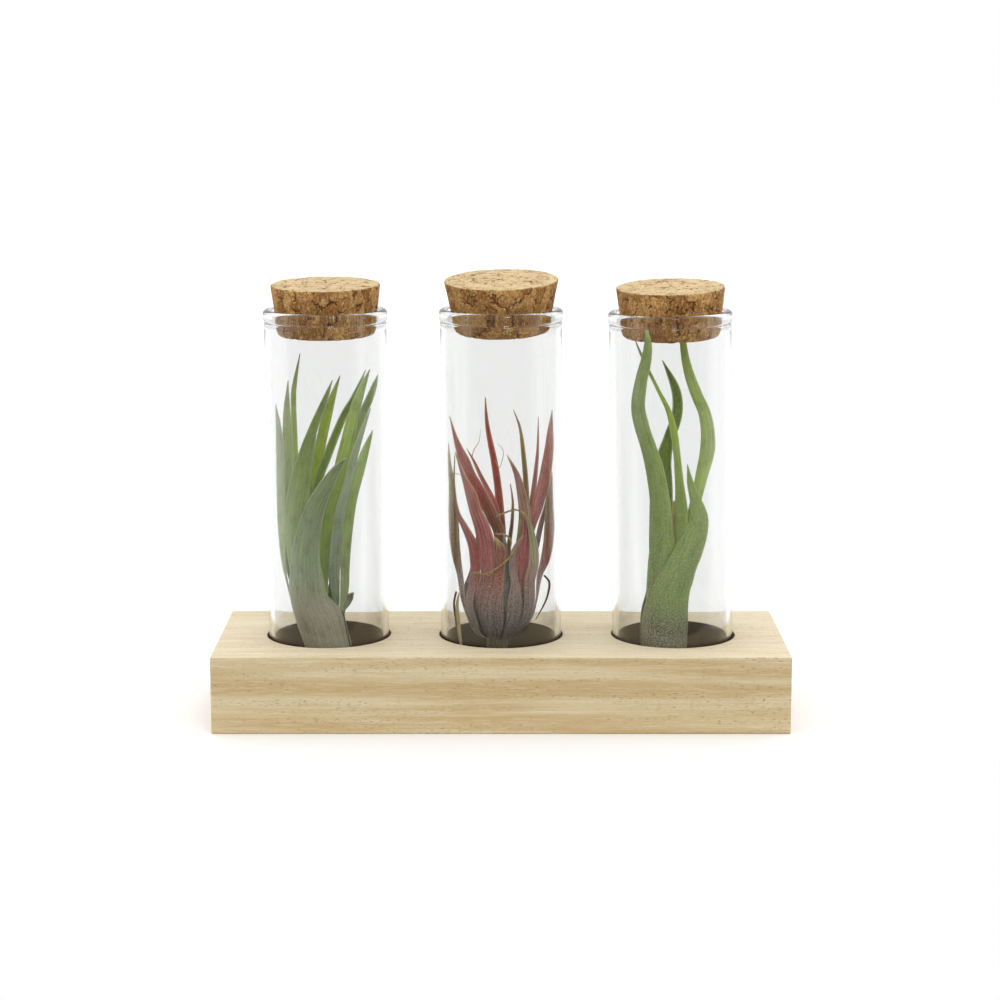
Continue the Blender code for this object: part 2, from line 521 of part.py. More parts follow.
    thread("red_strand_loop", "middle", [
        (-1.1, -7.2, 50.2), (1.4, -7.4, 51.4), (3.0, -7.4, 51.9), (4.4, -7.2, 51.6), (6.1, -6.9, 50.0),
        (7.4, -6.8, 47.6)])
    thread("red_strand_curl", "middle", [
        (-1.3, -8.7, 46.2), (1.2, -8.6, 45.8), (2.4, -8.5, 44.2), (2.2, -8.6, 42.3)], rings=8)


def twisted_plant():
    stem("twisted_stem", "right", [(-2.2, 0.0, 6.5, 1.6), (-2.3, 0.0, 13.0, 1.8), (-2.3, 0.0, 20.0, 1.4)])
    leaf("twisted_leaf_front_right", "right", -80, 0, 80, [
        (-0.2, -6.3, 31.3, 10.0), (0.86, -6.8, 34.4, 8.9), (2.3, -7.1, 38.3, 7.7), (3.85, -7.0, 42.2, 7.0),
        (5.2, -6.9, 46.0, 5.6), (5.7, -6.6, 49.6, 4.6), (4.8, -6.2, 53.8, 3.0), (3.4, -5.8, 58.4, 1.7),
        (2.6, -5.6, 62.9, 0.2)], rings=14, cup=30)
    leaf("twisted_leaf_front_left", "right", -125, 1.2, 74, [
        (-4.64, -3.65, 34.1, 7.7), (-4.13, -4.6, 41.6, 7.1), (-4.09, -5.2, 46.5, 6.2),
        (-4.29, -5.9, 51.5, 5.6), (-4.89, -6.5, 56.8, 5.1), (-5.89, -7.0, 62.4, 4.6), (-7.3, -7.5, 67.6, 4.0),
        (-8.85, -7.9, 72.6, 3.8), (-9.7, -8.2, 77.6, 3.5), (-9.1, -9.0, 83.6, 3.1), (-8.1, -10.0, 88.4, 2.7),
        (-7.6, -10.9, 92.6, 2.0), (-7.9, -11.0, 96.4, 0.7)], face=-112, rings=20, cup=30)
    leaf("twisted_leaf_right_arm", "right", 12, 1, 56, [
        (3.2, 0.6, 34.0, 4.6), (4.5, -0.5, 41.0, 4.7), (5.0, -1.2, 48.0, 4.8), (6.2, -1.4, 55.1, 4.0),
        (7.2, -1.4, 60.4, 3.8), (8.1, -1.4, 65.6, 3.9), (8.0, -1.4, 70.6, 3.6), (7.1, -1.4, 75.0, 3.1),
        (5.3, -1.4, 79.0, 2.9), (3.5, -1.4, 83.6, 2.6), (2.2, -1.5, 88.2, 2.1), (1.4, -1.6, 93.0, 1.6)],
        face=-80, rings=18, cup=35)
    leaf("twisted_leaf_middle_thin", "right", -64, 2.6, 40, [
        (1.2, -2.3, 36.5, 2.6), (1.6, -4.0, 44.8, 2.7), (1.6, -3.9, 50.6, 3.3), (1.0, -3.8, 57.2, 2.3),
        (0.3, -3.4, 64.2, 1.8), (-0.6, -3.1, 70.6, 1.8), (-2.0, -2.8, 75.8, 1.3), (-4.4, -2.6, 80.6, 0.9),
        (-7.0, -2.4, 85.8, 0.8), (-9.0, -2.0, 90.0, 0.6), (-10.2, -1.8, 92.8, 0.2)],
        face=-90, rings=16, cup=35)
    leaf("twisted_leaf_back_curl", "right", 90, 0, 36, [
        (-1.3, 3.4, 37.4, 3.0), (-1.4, 2.4, 47.6, 2.6), (-1.8, 2.0, 56.4, 2.8), (-2.6, 1.8, 63.0, 3.6),
        (-1.5, 1.8, 68.0, 2.9), (0.3, 1.8, 73.4, 2.7), (0.5, 1.8, 78.1, 2.5), (-0.6, 1.8, 82.1, 1.9),
        (-3.3, 1.8, 87.6, 0.2)], rings=14, cup=30)
    leaf("twisted_leaf_back_left", "right", 151, 0, 18, [
        (-5.7, 1.9, 33.0, 2.3), (-5.9, 0.6, 42.8, 2.2), (-5.9, 0.2, 49.0, 1.6), (-6.0, 0.2, 55.9, 0.2)],
        face=170, broad=False)
    leaf("twisted_leaf_inner", "right", 40, 2, 30, [
        (-0.4, 0.8, 33.0, 2.0), (-0.1, -0.4, 42.0, 2.1), (0.2, -0.9, 48.0, 2.0), (-0.2, -1.2, 53.0, 0.8)],
        face=60, broad=False)


def main():
    clear_scene()
    block()
    for side in TUBES:
        tube(side)
        cork(side)
    green_plant()
    red_plant()
    twisted_plant()


main()
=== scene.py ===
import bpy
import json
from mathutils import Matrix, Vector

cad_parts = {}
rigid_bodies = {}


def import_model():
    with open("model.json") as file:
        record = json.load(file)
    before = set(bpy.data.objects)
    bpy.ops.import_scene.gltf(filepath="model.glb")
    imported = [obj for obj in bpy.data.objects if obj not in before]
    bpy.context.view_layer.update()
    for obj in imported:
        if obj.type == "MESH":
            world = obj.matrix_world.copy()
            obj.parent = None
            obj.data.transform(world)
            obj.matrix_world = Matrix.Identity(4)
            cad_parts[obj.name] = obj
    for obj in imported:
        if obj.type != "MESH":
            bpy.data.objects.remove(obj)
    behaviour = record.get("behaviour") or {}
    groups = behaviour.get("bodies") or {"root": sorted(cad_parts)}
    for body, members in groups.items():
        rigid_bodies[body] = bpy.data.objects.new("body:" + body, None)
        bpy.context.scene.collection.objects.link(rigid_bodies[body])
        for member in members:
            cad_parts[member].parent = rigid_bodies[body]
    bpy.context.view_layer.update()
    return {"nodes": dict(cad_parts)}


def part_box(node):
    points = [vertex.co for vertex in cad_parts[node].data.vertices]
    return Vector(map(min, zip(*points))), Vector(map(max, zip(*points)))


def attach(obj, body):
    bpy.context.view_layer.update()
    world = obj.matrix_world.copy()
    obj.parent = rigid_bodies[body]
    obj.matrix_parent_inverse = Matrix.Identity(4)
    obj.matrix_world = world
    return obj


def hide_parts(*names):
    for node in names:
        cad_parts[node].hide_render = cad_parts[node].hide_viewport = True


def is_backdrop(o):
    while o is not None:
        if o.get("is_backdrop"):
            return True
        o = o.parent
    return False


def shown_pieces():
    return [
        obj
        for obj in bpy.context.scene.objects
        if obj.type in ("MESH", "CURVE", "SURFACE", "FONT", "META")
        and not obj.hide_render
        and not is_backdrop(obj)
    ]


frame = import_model()

import json
import math

import bmesh
import bpy
from mathutils import Matrix, Vector, noise

mm = 0.001
tubeX = {"left": -43.0, "middle": 0.0, "right": 43.0}
print("frame loaded:", len(frame["nodes"]), "nodes")


# Small helpers for meshes.

def paint(red, green, blue):
    # a colour as it looks on a screen, 0 to 255, made linear
    return [(part / 255.0) ** 2.2 for part in (red, green, blue)]


def smoothStep(value, low, high):
    share = min(1.0, max(0.0, (value - low) / (high - low)))
    return share * share * (3.0 - 2.0 * share)


def blendColour(first, second, share):
    return [a + (b - a) * share for a, b in zip(first, second)]


def flow(stations, place):
    # a smooth value between stations, for points, widths and angles alike
    last = len(stations) - 1
    index = min(int(place), last - 1)
    part = place - index
    before = stations[max(index - 1, 0)]
    here = stations[index]
    there = stations[index + 1]
    beyond = stations[min(index + 2, last)]
    values = []
    for a, b, c, d in zip(before, here, there, beyond):
        bend = 2.0 * b + (c - a) * part
        bend += (2.0 * a - 5.0 * b + 4.0 * c - d) * part ** 2
        bend += (3.0 * b - a - 3.0 * c + d) * part ** 3
        values.append(bend / 2.0)
    return values


def evenPlaces(stations, step, finePerStation=24):
    # places along the stations, one every step millimetres, and the whole length
    fine = finePerStation * (len(stations) - 1)
    places = [(len(stations) - 1) * index / fine for index in range(fine + 1)]
    spots = [Vector(flow(stations, place)[:3]) for place in places]
    run = [0.0]
    for low, high in zip(spots, spots[1:]):
        run.append(run[-1] + (high - low).length)
    count = max(8, int(run[-1] / step))
    made = []
    index = 0
    for number in range(count + 1):
        wanted = run[-1] * number / count
        while index < fine - 1 and run[index + 1] < wanted:
            index += 1
        share = (wanted - run[index]) / max(1e-9, run[index + 1] - run[index])
        made.append(places[index] + min(1.0, share) * (places[index + 1] - places[index]))
    return made, run[-1]


def addObject(name, data):
    made = bpy.data.objects.new(name, data)
    bpy.context.scene.collection.objects.link(made)
    return made


def meshPiece(name, points, faces, edges=()):
    mesh = bpy.data.meshes.new(name)
    mesh.from_pydata([Vector(point) * mm for point in points], edges, faces)
    if faces:
        mesh.shade_smooth()
    return addObject(name, mesh)


def settle(piece, slot, *nodes):
    # hand a finished piece to the frame
    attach(piece, "root")
    if nodes:
        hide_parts(*nodes)
    return piece


def bake(piece):
    # turn a piece's modifiers into plain mesh
    bpy.context.view_layer.update()
    graph = bpy.context.evaluated_depsgraph_get()
    solid = piece.evaluated_get(graph)
    mesh = bpy.data.meshes.new_from_object(solid, preserve_all_data_layers=True, depsgraph=graph)
    piece.modifiers.clear()
    old = piece.data
    piece.data = mesh
    mesh.name = piece.name
    if old.users == 0:
        bpy.data.meshes.remove(old)
    return piece


def ringFaces(rows):
    faces = []
    for low, high in zip(rows, rows[1:]):
        for step in range(len(low)):
            after = (step + 1) % len(low)
            faces.append((low[step], low[after], high[after], high[step]))
    return faces


def turned(profile, sides):
    # a solid of revolution, from the axis out and back to the axis
    points, rows = [], []
    for radius, height in profile:
        if radius < 1e-6:
            rows.append([len(points)])
            points.append((0.0, 0.0, height))
            continue
        row = []
        for step in range(sides):
            angle = 2.0 * math.pi * step / sides
            row.append(len(points))
            points.append((radius * math.cos(angle), radius * math.sin(angle), height))
        rows.append(row)
    faces = []
    for low, high in zip(rows, rows[1:]):
        for step in range(sides):
            after = (step + 1) % sides
            corners = [low[step % len(low)], low[after % len(low)], high[after % len(high)], high[step % len(high)]]
            faces.append(list(dict.fromkeys(corners)))
    return points, faces


def arcPoints(centre, radius, start, end, steps):
    made = []
    for step in range(steps + 1):
        angle = math.radians(start + (end - start) * step / steps)
        made.append((centre[0] + radius * math.cos(angle), centre[1] + radius * math.sin(angle)))
    return made


def linePoints(start, end, step):
    # points from start to end, without the end itself
    run = math.dist(start, end)
    count = max(1, int(run / step))
    return [tuple(a + (b - a) * index / count for a, b in zip(start, end)) for index in range(count)]


# Small helpers for node trees, in materials and in Geometry Nodes.

def plug(tree, socket, value):
    if isinstance(value, bpy.types.NodeSocket):
        tree.links.new(value, socket)
    else:
        socket.default_value = value


def node(tree, kind, inputs=None, **settings):
    # a new node with its settings made and its inputs filled or linked
    made = tree.nodes.new(kind)
    for key, value in settings.items():
        setattr(made, key, value)
    for key, value in (inputs or {}).items():
        plug(tree, made.inputs[key], value)
    return made


def speckle(tree, coords, scale, detail=3.0, roughness=0.55, distortion=0.0):
    inputs = {"Vector": coords, "Scale": scale, "Detail": detail, "Roughness": roughness, "Distortion": distortion}
    return node(tree, "ShaderNodeTexNoise", inputs).outputs["Fac"]


def cells(tree, coords, scale, output="Distance", **settings):
    return node(tree, "ShaderNodeTexVoronoi", {"Vector": coords, "Scale": scale}, **settings).outputs[output]


def maths(tree, operation, first, second=0.0):
    return node(tree, "ShaderNodeMath", {0: first, 1: second}, operation=operation).outputs[0]


def vectors(tree, operation, first, second):
    other = "Scale" if operation == "SCALE" else 1
    return node(tree, "ShaderNodeVectorMath", {0: first, other: second}, operation=operation).outputs["Vector"]


def startMaterial(name, roughness):
    made = bpy.data.materials.new(name)
    made.use_nodes = True
    shader = made.node_tree.nodes["Principled BSDF"]
    shader.inputs["Roughness"].default_value = roughness
    return made, made.node_tree, shader


def millimetres(tree, scale=(1.0, 1.0, 1.0), shift=(0.0, 0.0, 0.0)):
    # object coordinates in millimetres, stretched by scale
    where = node(tree, "ShaderNodeTexCoord").outputs["Object"]
    inputs = {"Vector": where, "Scale": [1000.0 * part for part in scale], "Location": shift}
    return node(tree, "ShaderNodeMapping", inputs).outputs["Vector"]


def remap(tree, value, low, high, outLow=0.0, outHigh=1.0, smooth=False):
    inputs = {"Value": value, "From Min": low, "From Max": high, "To Min": outLow, "To Max": outHigh}
    way = "SMOOTHSTEP" if smooth else "LINEAR"
    return node(tree, "ShaderNodeMapRange", inputs, interpolation_type=way).outputs["Result"]


def mixed(tree, share, first, second, way="MIX"):
    tones = [tone if isinstance(tone, bpy.types.NodeSocket) else (*tone, 1.0) for tone in (first, second)]
    inputs = {0: share, 6: tones[0], 7: tones[1]}
    return node(tree, "ShaderNodeMix", inputs, data_type="RGBA", blend_type=way).outputs[2]


def attribute(tree, name, output="Fac"):
    return node(tree, "ShaderNodeAttribute", attribute_name=name).outputs[output]


def upward(tree, low, high, most):
    # most on level faces that look up, nothing on upright ones
    normal = node(tree, "ShaderNodeNewGeometry").outputs["Normal"]
    return remap(tree, node(tree, "ShaderNodeSeparateXYZ", {0: normal}).outputs["Z"], low, high, 0.0, most)


def bumped(tree, shader, height, depth, strength):
    # depth is in millimetres
    inputs = {"Strength": strength, "Distance": depth * mm, "Height": height}
    plug(tree, shader.inputs["Normal"], node(tree, "ShaderNodeBump", inputs).outputs["Normal"])


def startGraph(name, **sockets):
    # a Geometry Nodes tree with a geometry in and out and its named inputs
    tree = bpy.data.node_groups.new(name, "GeometryNodeTree")
    for key, kind in {"Geometry": "Geometry", **sockets}.items():
        tree.interface.new_socket(key, in_out="INPUT", socket_type="NodeSocket" + kind)
    tree.interface.new_socket("Geometry", in_out="OUTPUT", socket_type="NodeSocketGeometry")
    return tree, tree.nodes.new("NodeGroupInput").outputs


def endGraph(tree, geometry, finish):
    # make the result real, give it its material and hand it out
    whole = node(tree, "GeometryNodeRealizeInstances", {0: geometry}).outputs[0]
    dressed = node(tree, "GeometryNodeSetMaterial", {"Geometry": whole, "Material": finish}).outputs[0]
    node(tree, "NodeGroupOutput", {0: dressed})
    return tree


def runGraph(piece, tree, **values):
    # run a Geometry Nodes tree on a piece with its named inputs, and keep the result as plain mesh
    work = piece.modifiers.new(tree.name, "NODES")
    work.node_group = tree
    for item in tree.interface.items_tree:
        if item.item_type == "SOCKET" and item.in_out == "INPUT" and item.name in values:
            work[item.identifier] = values[item.name]
    return bake(piece)


# Camera, floor and light.

studio = {
    "cameraSpot": (-0.2508, -586.1324, 160.0623), "lookDown": 0.1808, "lens": 86.533, "sensor": 36.0,
    "floorTone": 0.87, "floorFront": -0.045, "floorReach": 6.0, "floorDrop": 0.00002,
    "horizon": 1.0, "zenith": 1.55, "roomTone": 0.3, "roomEdge": (0.72, 0.92),
    "mirrorDome": 0.9, "mirrorRoom": 0.2, "mirrorEdge": (0.1, 0.75),
    "lampSpot": (0.09, -0.42, 0.5), "lampTarget": (0.0, 0.0, 0.09), "lampSize": (0.1, 0.16), "lampPower": 0.38,
}


def makeCamera(look):
    camera = addObject("photoCamera", bpy.data.cameras.new("photoCamera"))
    camera.data.lens = look["lens"]
    camera.data.sensor_width = look["sensor"]
    camera.data.clip_start = 0.01
    camera.data.clip_end = 60.0
    camera.location = Vector(look["cameraSpot"]) * mm
    camera.rotation_euler = (math.pi / 2.0 - look["lookDown"], 0.0, 0.0)
    bpy.context.scene.camera = camera
    bpy.context.scene.view_settings.view_transform = "Standard"
    bpy.context.scene.view_settings.look = "None"


def makeWorld(look):
    # a white dome all round, with the dim room behind the camera
    world = bpy.data.worlds.new("whiteDome")
    world.use_nodes = True
    tree = world.node_tree
    toward = node(tree, "ShaderNodeTexCoord").outputs["Generated"]
    where = node(tree, "ShaderNodeSeparateXYZ", {0: toward}).outputs
    behind = maths(tree, "MULTIPLY", where["Y"], -1.0)
    path = node(tree, "ShaderNodeLightPath").outputs
    grey = {key: [look[key]] * 3 for key in ("roomTone", "mirrorDome", "mirrorRoom")}
    dome = remap(tree, where["Z"], 0.0, 1.0, look["horizon"], look["zenith"])
    dome = mixed(tree, remap(tree, behind, *look["roomEdge"], smooth=True), dome, grey["roomTone"])
    facing = remap(tree, behind, *look["mirrorEdge"], smooth=True)
    mirror = mixed(tree, facing, grey["mirrorDome"], grey["mirrorRoom"])
    dome = mixed(tree, path["Is Glossy Ray"], dome, mirror)
    # a path that only goes through glass sees the white dome on every side
    turns = maths(tree, "SUBTRACT", path["Ray Depth"], path["Transmission Depth"])
    through = maths(tree, "MULTIPLY", path["Is Transmission Ray"], maths(tree, "LESS_THAN", turns, 1.5))
    dome = mixed(tree, through, dome, grey["mirrorDome"])
    dome = mixed(tree, path["Is Camera Ray"], dome, (1.0, 1.0, 1.0))
    plug(tree, tree.nodes["Background"].inputs["Color"], dome)
    bpy.context.scene.world = world


def makeFloor(look):
    wide, front = look["floorReach"], look["floorFront"]
    corners = [(-wide, front, 0.0), (wide, front, 0.0), (wide, wide, 0.0), (-wide, wide, 0.0)]
    mesh = bpy.data.meshes.new("floor")
    mesh.from_pydata(corners, [], [(0, 1, 2, 3)])
    floor = addObject("floor", mesh)
    floor.location = (0.0, 0.0, -look["floorDrop"])
    made, tree, shader = startMaterial("paleFloor", 0.9)
    shader.inputs["Base Color"].default_value = (*[look["floorTone"]] * 3, 1.0)
    shader.inputs["Specular IOR Level"].default_value = 0.0
    mesh.materials.append(made)
    floor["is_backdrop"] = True


def makeLamp(look):
    lamp = bpy.data.lights.new("windowBox", "AREA")
    lamp.shape = "RECTANGLE"
    lamp.size, lamp.size_y = look["lampSize"]
    lamp.energy = look["lampPower"]
    made = addObject("windowBox", lamp)
    made.location = look["lampSpot"]
    aim = Vector(look["lampTarget"]) - Vector(look["lampSpot"])
    made.rotation_euler = aim.to_track_quat("-Z", "Y").to_euler()


makeCamera(studio)
makeWorld(studio)
makeFloor(studio)
makeLamp(studio)
print("studio ready")


# Wooden block.

blockLook = {
    "length": 140.0, "depth": 50.0, "height": 19.0, "edge": 0.35,
    "holeRadius": 15.4, "holeDepth": 15.0, "holeEdge": 0.25, "holeSides": 144,
    "pale": (216, 199, 161), "warm": (196, 170, 122), "pore": (150, 118, 76), "light": (236, 224, 192),
    "paintedHoleShade": (84, 53, 20), "topGrainAndSheen": (233, 223, 196), "corner": 0.6,
}


def woodFinish(name, look, paintedHoleShade=False):
    made, tree, shader = startMaterial(name, 0.6)
    tone = {key: paint(*look[key]) for key in ("pale", "warm", "light", "pore", "paintedHoleShade", "topGrainAndSheen")}
    rings = speckle(tree, millimetres(tree, (0.012, 0.16, 0.3)), 1.0, 2.0, 0.5, 0.6)
    fibres = speckle(tree, millimetres(tree, (0.06, 1.7, 2.3)), 1.0, 4.0, 0.6, 0.2)
    hairline = speckle(tree, millimetres(tree, (0.22, 5.5, 6.5)), 1.0, 2.0, 0.5)
    dashes = speckle(tree, millimetres(tree, (0.75, 6.0, 5.0), (3.0, 7.0, 1.0)), 1.0, 1.5, 0.4)
    crowd = speckle(tree, millimetres(tree, (0.03, 0.5, 0.75), (8.0, 2.0, 5.0)), 1.0, 2.0, 0.5)
    colour = mixed(tree, remap(tree, rings, 0.35, 0.65, smooth=True), tone["pale"], tone["warm"])
    # paler on faces that look up: partly the real face grain, partly painted sheen and top light
    colour = mixed(tree, upward(tree, 0.5, 0.9, 0.62), colour, tone["topGrainAndSheen"])
    colour = mixed(tree, remap(tree, fibres, 0.42, 0.7, 0.0, 0.55), colour, tone["warm"])
    colour = mixed(tree, remap(tree, hairline, 0.3, 0.5, 0.35, 0.0), colour, tone["light"])
    pores = maths(tree, "MULTIPLY", remap(tree, dashes, 0.6, 0.7), remap(tree, crowd, 0.42, 0.62, 0.12, 0.85))
    colour = mixed(tree, pores, colour, tone["pore"])
    # painted shade: the walls and floor of each hole are painted dark brown for the shade that falls in the deep hole
    if paintedHoleShade:
        colour = mixed(tree, 0.96, colour, tone["paintedHoleShade"])
    plug(tree, shader.inputs["Base Color"], colour)
    height = maths(tree, "SUBTRACT", maths(tree, "MULTIPLY", fibres, 0.35), pores)
    bumped(tree, shader, height, 0.12, 0.6)
    plug(tree, shader.inputs["Roughness"], remap(tree, fibres, 0.3, 0.7, 0.52, 0.7))
    return made


def makeBlock(look):
    form = bmesh.new()
    bmesh.ops.create_cube(form, size=1.0)
    for vertex in form.verts:
        vertex.co.x *= look["length"] * mm
        vertex.co.y *= look["depth"] * mm
        vertex.co.z = (vertex.co.z + 0.5) * look["height"] * mm
    mesh = bpy.data.meshes.new("wood_block_finish")
    form.to_mesh(mesh)
    form.free()
    piece = addObject("wood_block_finish", mesh)
    soft = piece.modifiers.new("softEdges", "BEVEL")
    soft.width = look["edge"] * mm
    soft.segments = 3
    cutters = []
    top = look["height"]
    low = top - look["holeDepth"]
    radius = look["holeRadius"]
    lip = look["holeEdge"]
    bend = look["corner"]
    profile = [(0.0, low), (radius - bend, low)] + arcPoints((radius - bend, low + bend), bend, -60.0, 0.0, 3)
    profile += [(radius, top - lip)] + arcPoints((radius + lip, top - lip), lip, 150.0, 90.0, 3)
    profile += [(radius + lip, top + 4.0), (0.0, top + 4.0)]
    for side, centre in tubeX.items():
        points, faces = turned(profile, look["holeSides"])
        cutter = meshPiece("cutter", [(x + centre, y, z) for x, y, z in points], faces)
        cut = piece.modifiers.new(side + "Hole", "BOOLEAN")
        cut.operation = "DIFFERENCE"
        cut.solver = "EXACT"
        cut.object = cutter
        cutters.append(cutter)
    bake(piece)
    for cutter in cutters:
        bpy.data.objects.remove(cutter)
    piece.data.materials.clear()
    piece.data.materials.append(woodFinish("paleWood", look))
    piece.data.materials.append(woodFinish("paintedHoleShadeWood", look, paintedHoleShade=True))
    # faces inside the holes take the finish with the painted hole shade
    for face in piece.data.polygons:
        x, y, z = [part / mm for part in face.center]
        near = min(math.hypot(x - centre, y) for centre in tubeX.values())
        inHole = near < radius + 0.02 and low - 0.1 < z < top - lip * 0.5
        face.material_index = 1 if inHole else 0
    piece.data.shade_smooth()
    piece.data.set_sharp_from_angle(angle=math.radians(38))
    return settle(piece, "wood", "wood_block")


makeBlock(blockLook)
print("block done")


# Glass tubes.

tubeLook = {
    "radius": 15.0, "wall": 1.35, "floor": 1.5, "corner": 2.2, "cornerInside": 1.5,
    "rimHeight": 3.1, "rimProud": 0.25, "rimRound": 0.9, "mouth": 13.15, "sides": 160,
    "tubes": {
        "left": {"height": 96.1, "lean": 0.0},
        "middle": {"height": 96.2, "lean": 0.0},
        "right": {"height": 95.4, "lean": 1.1},
    },
    "tint": (0.895, 0.9, 0.895), "shadowTone": 0.985, "foot": 0.3,
}


def clearGlass(look):
    made, tree, shader = startMaterial("clearGlass", 0.0)
    shader.inputs["Base Color"].default_value = (*look["tint"], 1.0)
    shader.inputs["Transmission Weight"].default_value = 1.0
    shader.inputs["IOR"].default_value = 1.5
    through = node(tree, "ShaderNodeBsdfTransparent", {"Color": (*[look["shadowTone"]] * 3, 1.0)})
    shadow = node(tree, "ShaderNodeLightPath").outputs["Is Shadow Ray"]
    choose = node(tree, "ShaderNodeMixShader", {0: shadow, 1: shader.outputs[0], 2: through.outputs[0]})
    plug(tree, tree.nodes["Material Output"].inputs["Surface"], choose.outputs[0])
    return made


def tubeProfile(look, height):
    radius, mouth, floor = look["radius"], look["mouth"], look["floor"]
    corner, hollow, rim = look["corner"], look["cornerInside"], look["rimRound"]
    rimLow = height - look["rimHeight"]
    inner = radius - look["wall"]
    bead = radius + look["rimProud"]
    outside = [(0.0, 0.35), (6.0, 0.18), (10.5, 0.0)]
    outside += arcPoints((radius - corner, corner), corner, -84.0, 0.0, 8)
    outside += linePoints((radius, corner + 1.0), (radius, rimLow - 0.9), 6.0)
    outside += [(radius, rimLow - 0.5), (radius - 0.04, rimLow - 0.15)]
    outside += arcPoints((bead - rim, rimLow + 0.9), rim, -72.0, 0.0, 7)
    outside += arcPoints((bead - 1.05, height - 1.05), 1.05, 0.0, 90.0, 8)
    outside += arcPoints((mouth + 0.7, height - 0.7), 0.7, 90.0, 180.0, 6)
    outside += [(mouth, height - 1.5), (mouth, rimLow + 0.9), (mouth + 0.06, rimLow + 0.4)]
    outside += [(mouth + 0.22, rimLow - 0.1), (inner - 0.1, rimLow - 0.6), (inner, rimLow - 1.1)]
    inside = linePoints((inner, rimLow - 2.0), (inner, floor + hollow + 1.0), 6.0)
    inside += arcPoints((inner - hollow, floor + hollow), hollow, 0.0, -84.0, 7)
    inside += [(8.0, floor + 0.02), (4.0, floor + 0.1), (0.0, floor + 0.12)]
    return outside + inside


def makeTubes(look):
    glass = clearGlass(look)
    for side, spec in look["tubes"].items():
        points, faces = turned(tubeProfile(look, spec["height"]), look["sides"])
        lean = math.radians(spec["lean"])
        lift = blockLook["height"] - blockLook["holeDepth"] + look["foot"] + look["radius"] * math.sin(lean)
        slide = blockLook["holeDepth"] * math.sin(lean) / 2.0
        stand = Matrix.Translation((tubeX[side] + slide, 0.0, lift)) @ Matrix.Rotation(-lean, 4, "Y")
        piece = meshPiece(side + "_tube_finish", [stand @ Vector(point) for point in points], faces)
        piece.data.materials.append(glass)
        settle(piece, "glass", side + "_tube")


makeTubes(tubeLook)
print("tubes done")


# Corks.

corkLook = {
    "sides": 330, "step": 0.27, "edge": 0.45, "seated": 6.0,
    "granule": 3.0, "crackDepth": 0.34, "crackWidth": 0.085, "grit": 0.2, "warpScale": 0.55, "warp": 2.6,
    "corks": {
        "left": {
            "radii": (12.0, 13.4), "length": 12.3, "base": 94.3, "shift": 0.25, "tip": 2.9, "lean": 0.4, "seed": 1.0},
        "middle": {
            "radii": (11.5, 13.95), "length": 12.8, "base": 95.0, "shift": 0.3, "tip": 5.6, "lean": 1.2, "seed": 2.0},
        "right": {
            "radii": (12.0, 13.3), "length": 12.1, "base": 93.9, "shift": 0.1, "tip": 3.6, "lean": 1.5, "seed": 3.0},
    },
}


def corkGraph(look):
    # sinks cracks between pressed granules into a smooth stopper, and roughens it
    tree, given = startGraph(
        "pressedCork", Granule="Float", CrackDepth="Float", Grit="Float", Seed="Float", Finish="Material")

    def combined(operation, first, second):
        return maths(tree, operation, first, second)

    def levelled(value, low, slope):
        value = combined("MULTIPLY", combined("SUBTRACT", value, low), slope)
        return combined("MINIMUM", combined("MAXIMUM", value, 0.0), 1.0)

    shift = node(tree, "ShaderNodeCombineXYZ", {"X": combined("MULTIPLY", given["Seed"], 37.0)}).outputs[0]
    spot = vectors(tree, "SCALE", node(tree, "GeometryNodeInputPosition").outputs[0], 1000.0)
    spot = vectors(tree, "ADD", spot, shift)
    warp = node(tree, "ShaderNodeTexNoise", {"Vector": spot, "Scale": look["warpScale"], "Detail": 3.0})
    bent = vectors(tree, "ADD", spot, vectors(tree, "SCALE", warp.outputs["Color"], look["warp"]))
    scale = combined("DIVIDE", 1.0, given["Granule"])
    edges = cells(tree, bent, scale, feature="DISTANCE_TO_EDGE")
    chips = node(tree, "FunctionNodeSeparateColor", {0: cells(tree, bent, scale, "Color")}).outputs
    crack = combined("MAXIMUM", combined("SUBTRACT", 1.0, combined("DIVIDE", edges, look["crackWidth"])), 0.0)
    crack = combined("MULTIPLY", crack, levelled(speckle(tree, spot, 0.33, 2.0, 0.5), 0.44, 9.0))
    pit = levelled(speckle(tree, spot, 1.5, 4.0, 0.65), 0.59, 7.0)
    depth = combined("MULTIPLY", crack, given["CrackDepth"])
    depth = combined("ADD", depth, combined("MULTIPLY", pit, combined("MULTIPLY", given["Grit"], 1.3)))
    depth = combined("ADD", depth, combined("MULTIPLY", chips[1], combined("MULTIPLY", given["Grit"], 0.5)))
    geometry = given["Geometry"]
    for name, value in (("crack", crack), ("pit", pit), ("chipTone", chips[0])):
        inputs = {"Geometry": geometry, "Name": name, "Value": value}
        kept = node(tree, "GeometryNodeStoreNamedAttribute", inputs, data_type="FLOAT", domain="POINT")
        geometry = kept.outputs["Geometry"]
    normal = node(tree, "GeometryNodeInputNormal").outputs[0]
    offset = vectors(tree, "SCALE", normal, combined("MULTIPLY", depth, -mm))
    moved = node(tree, "GeometryNodeSetPosition", {"Geometry": geometry, "Offset": offset}).outputs[0]
    return endGraph(tree, moved, given["Finish"])


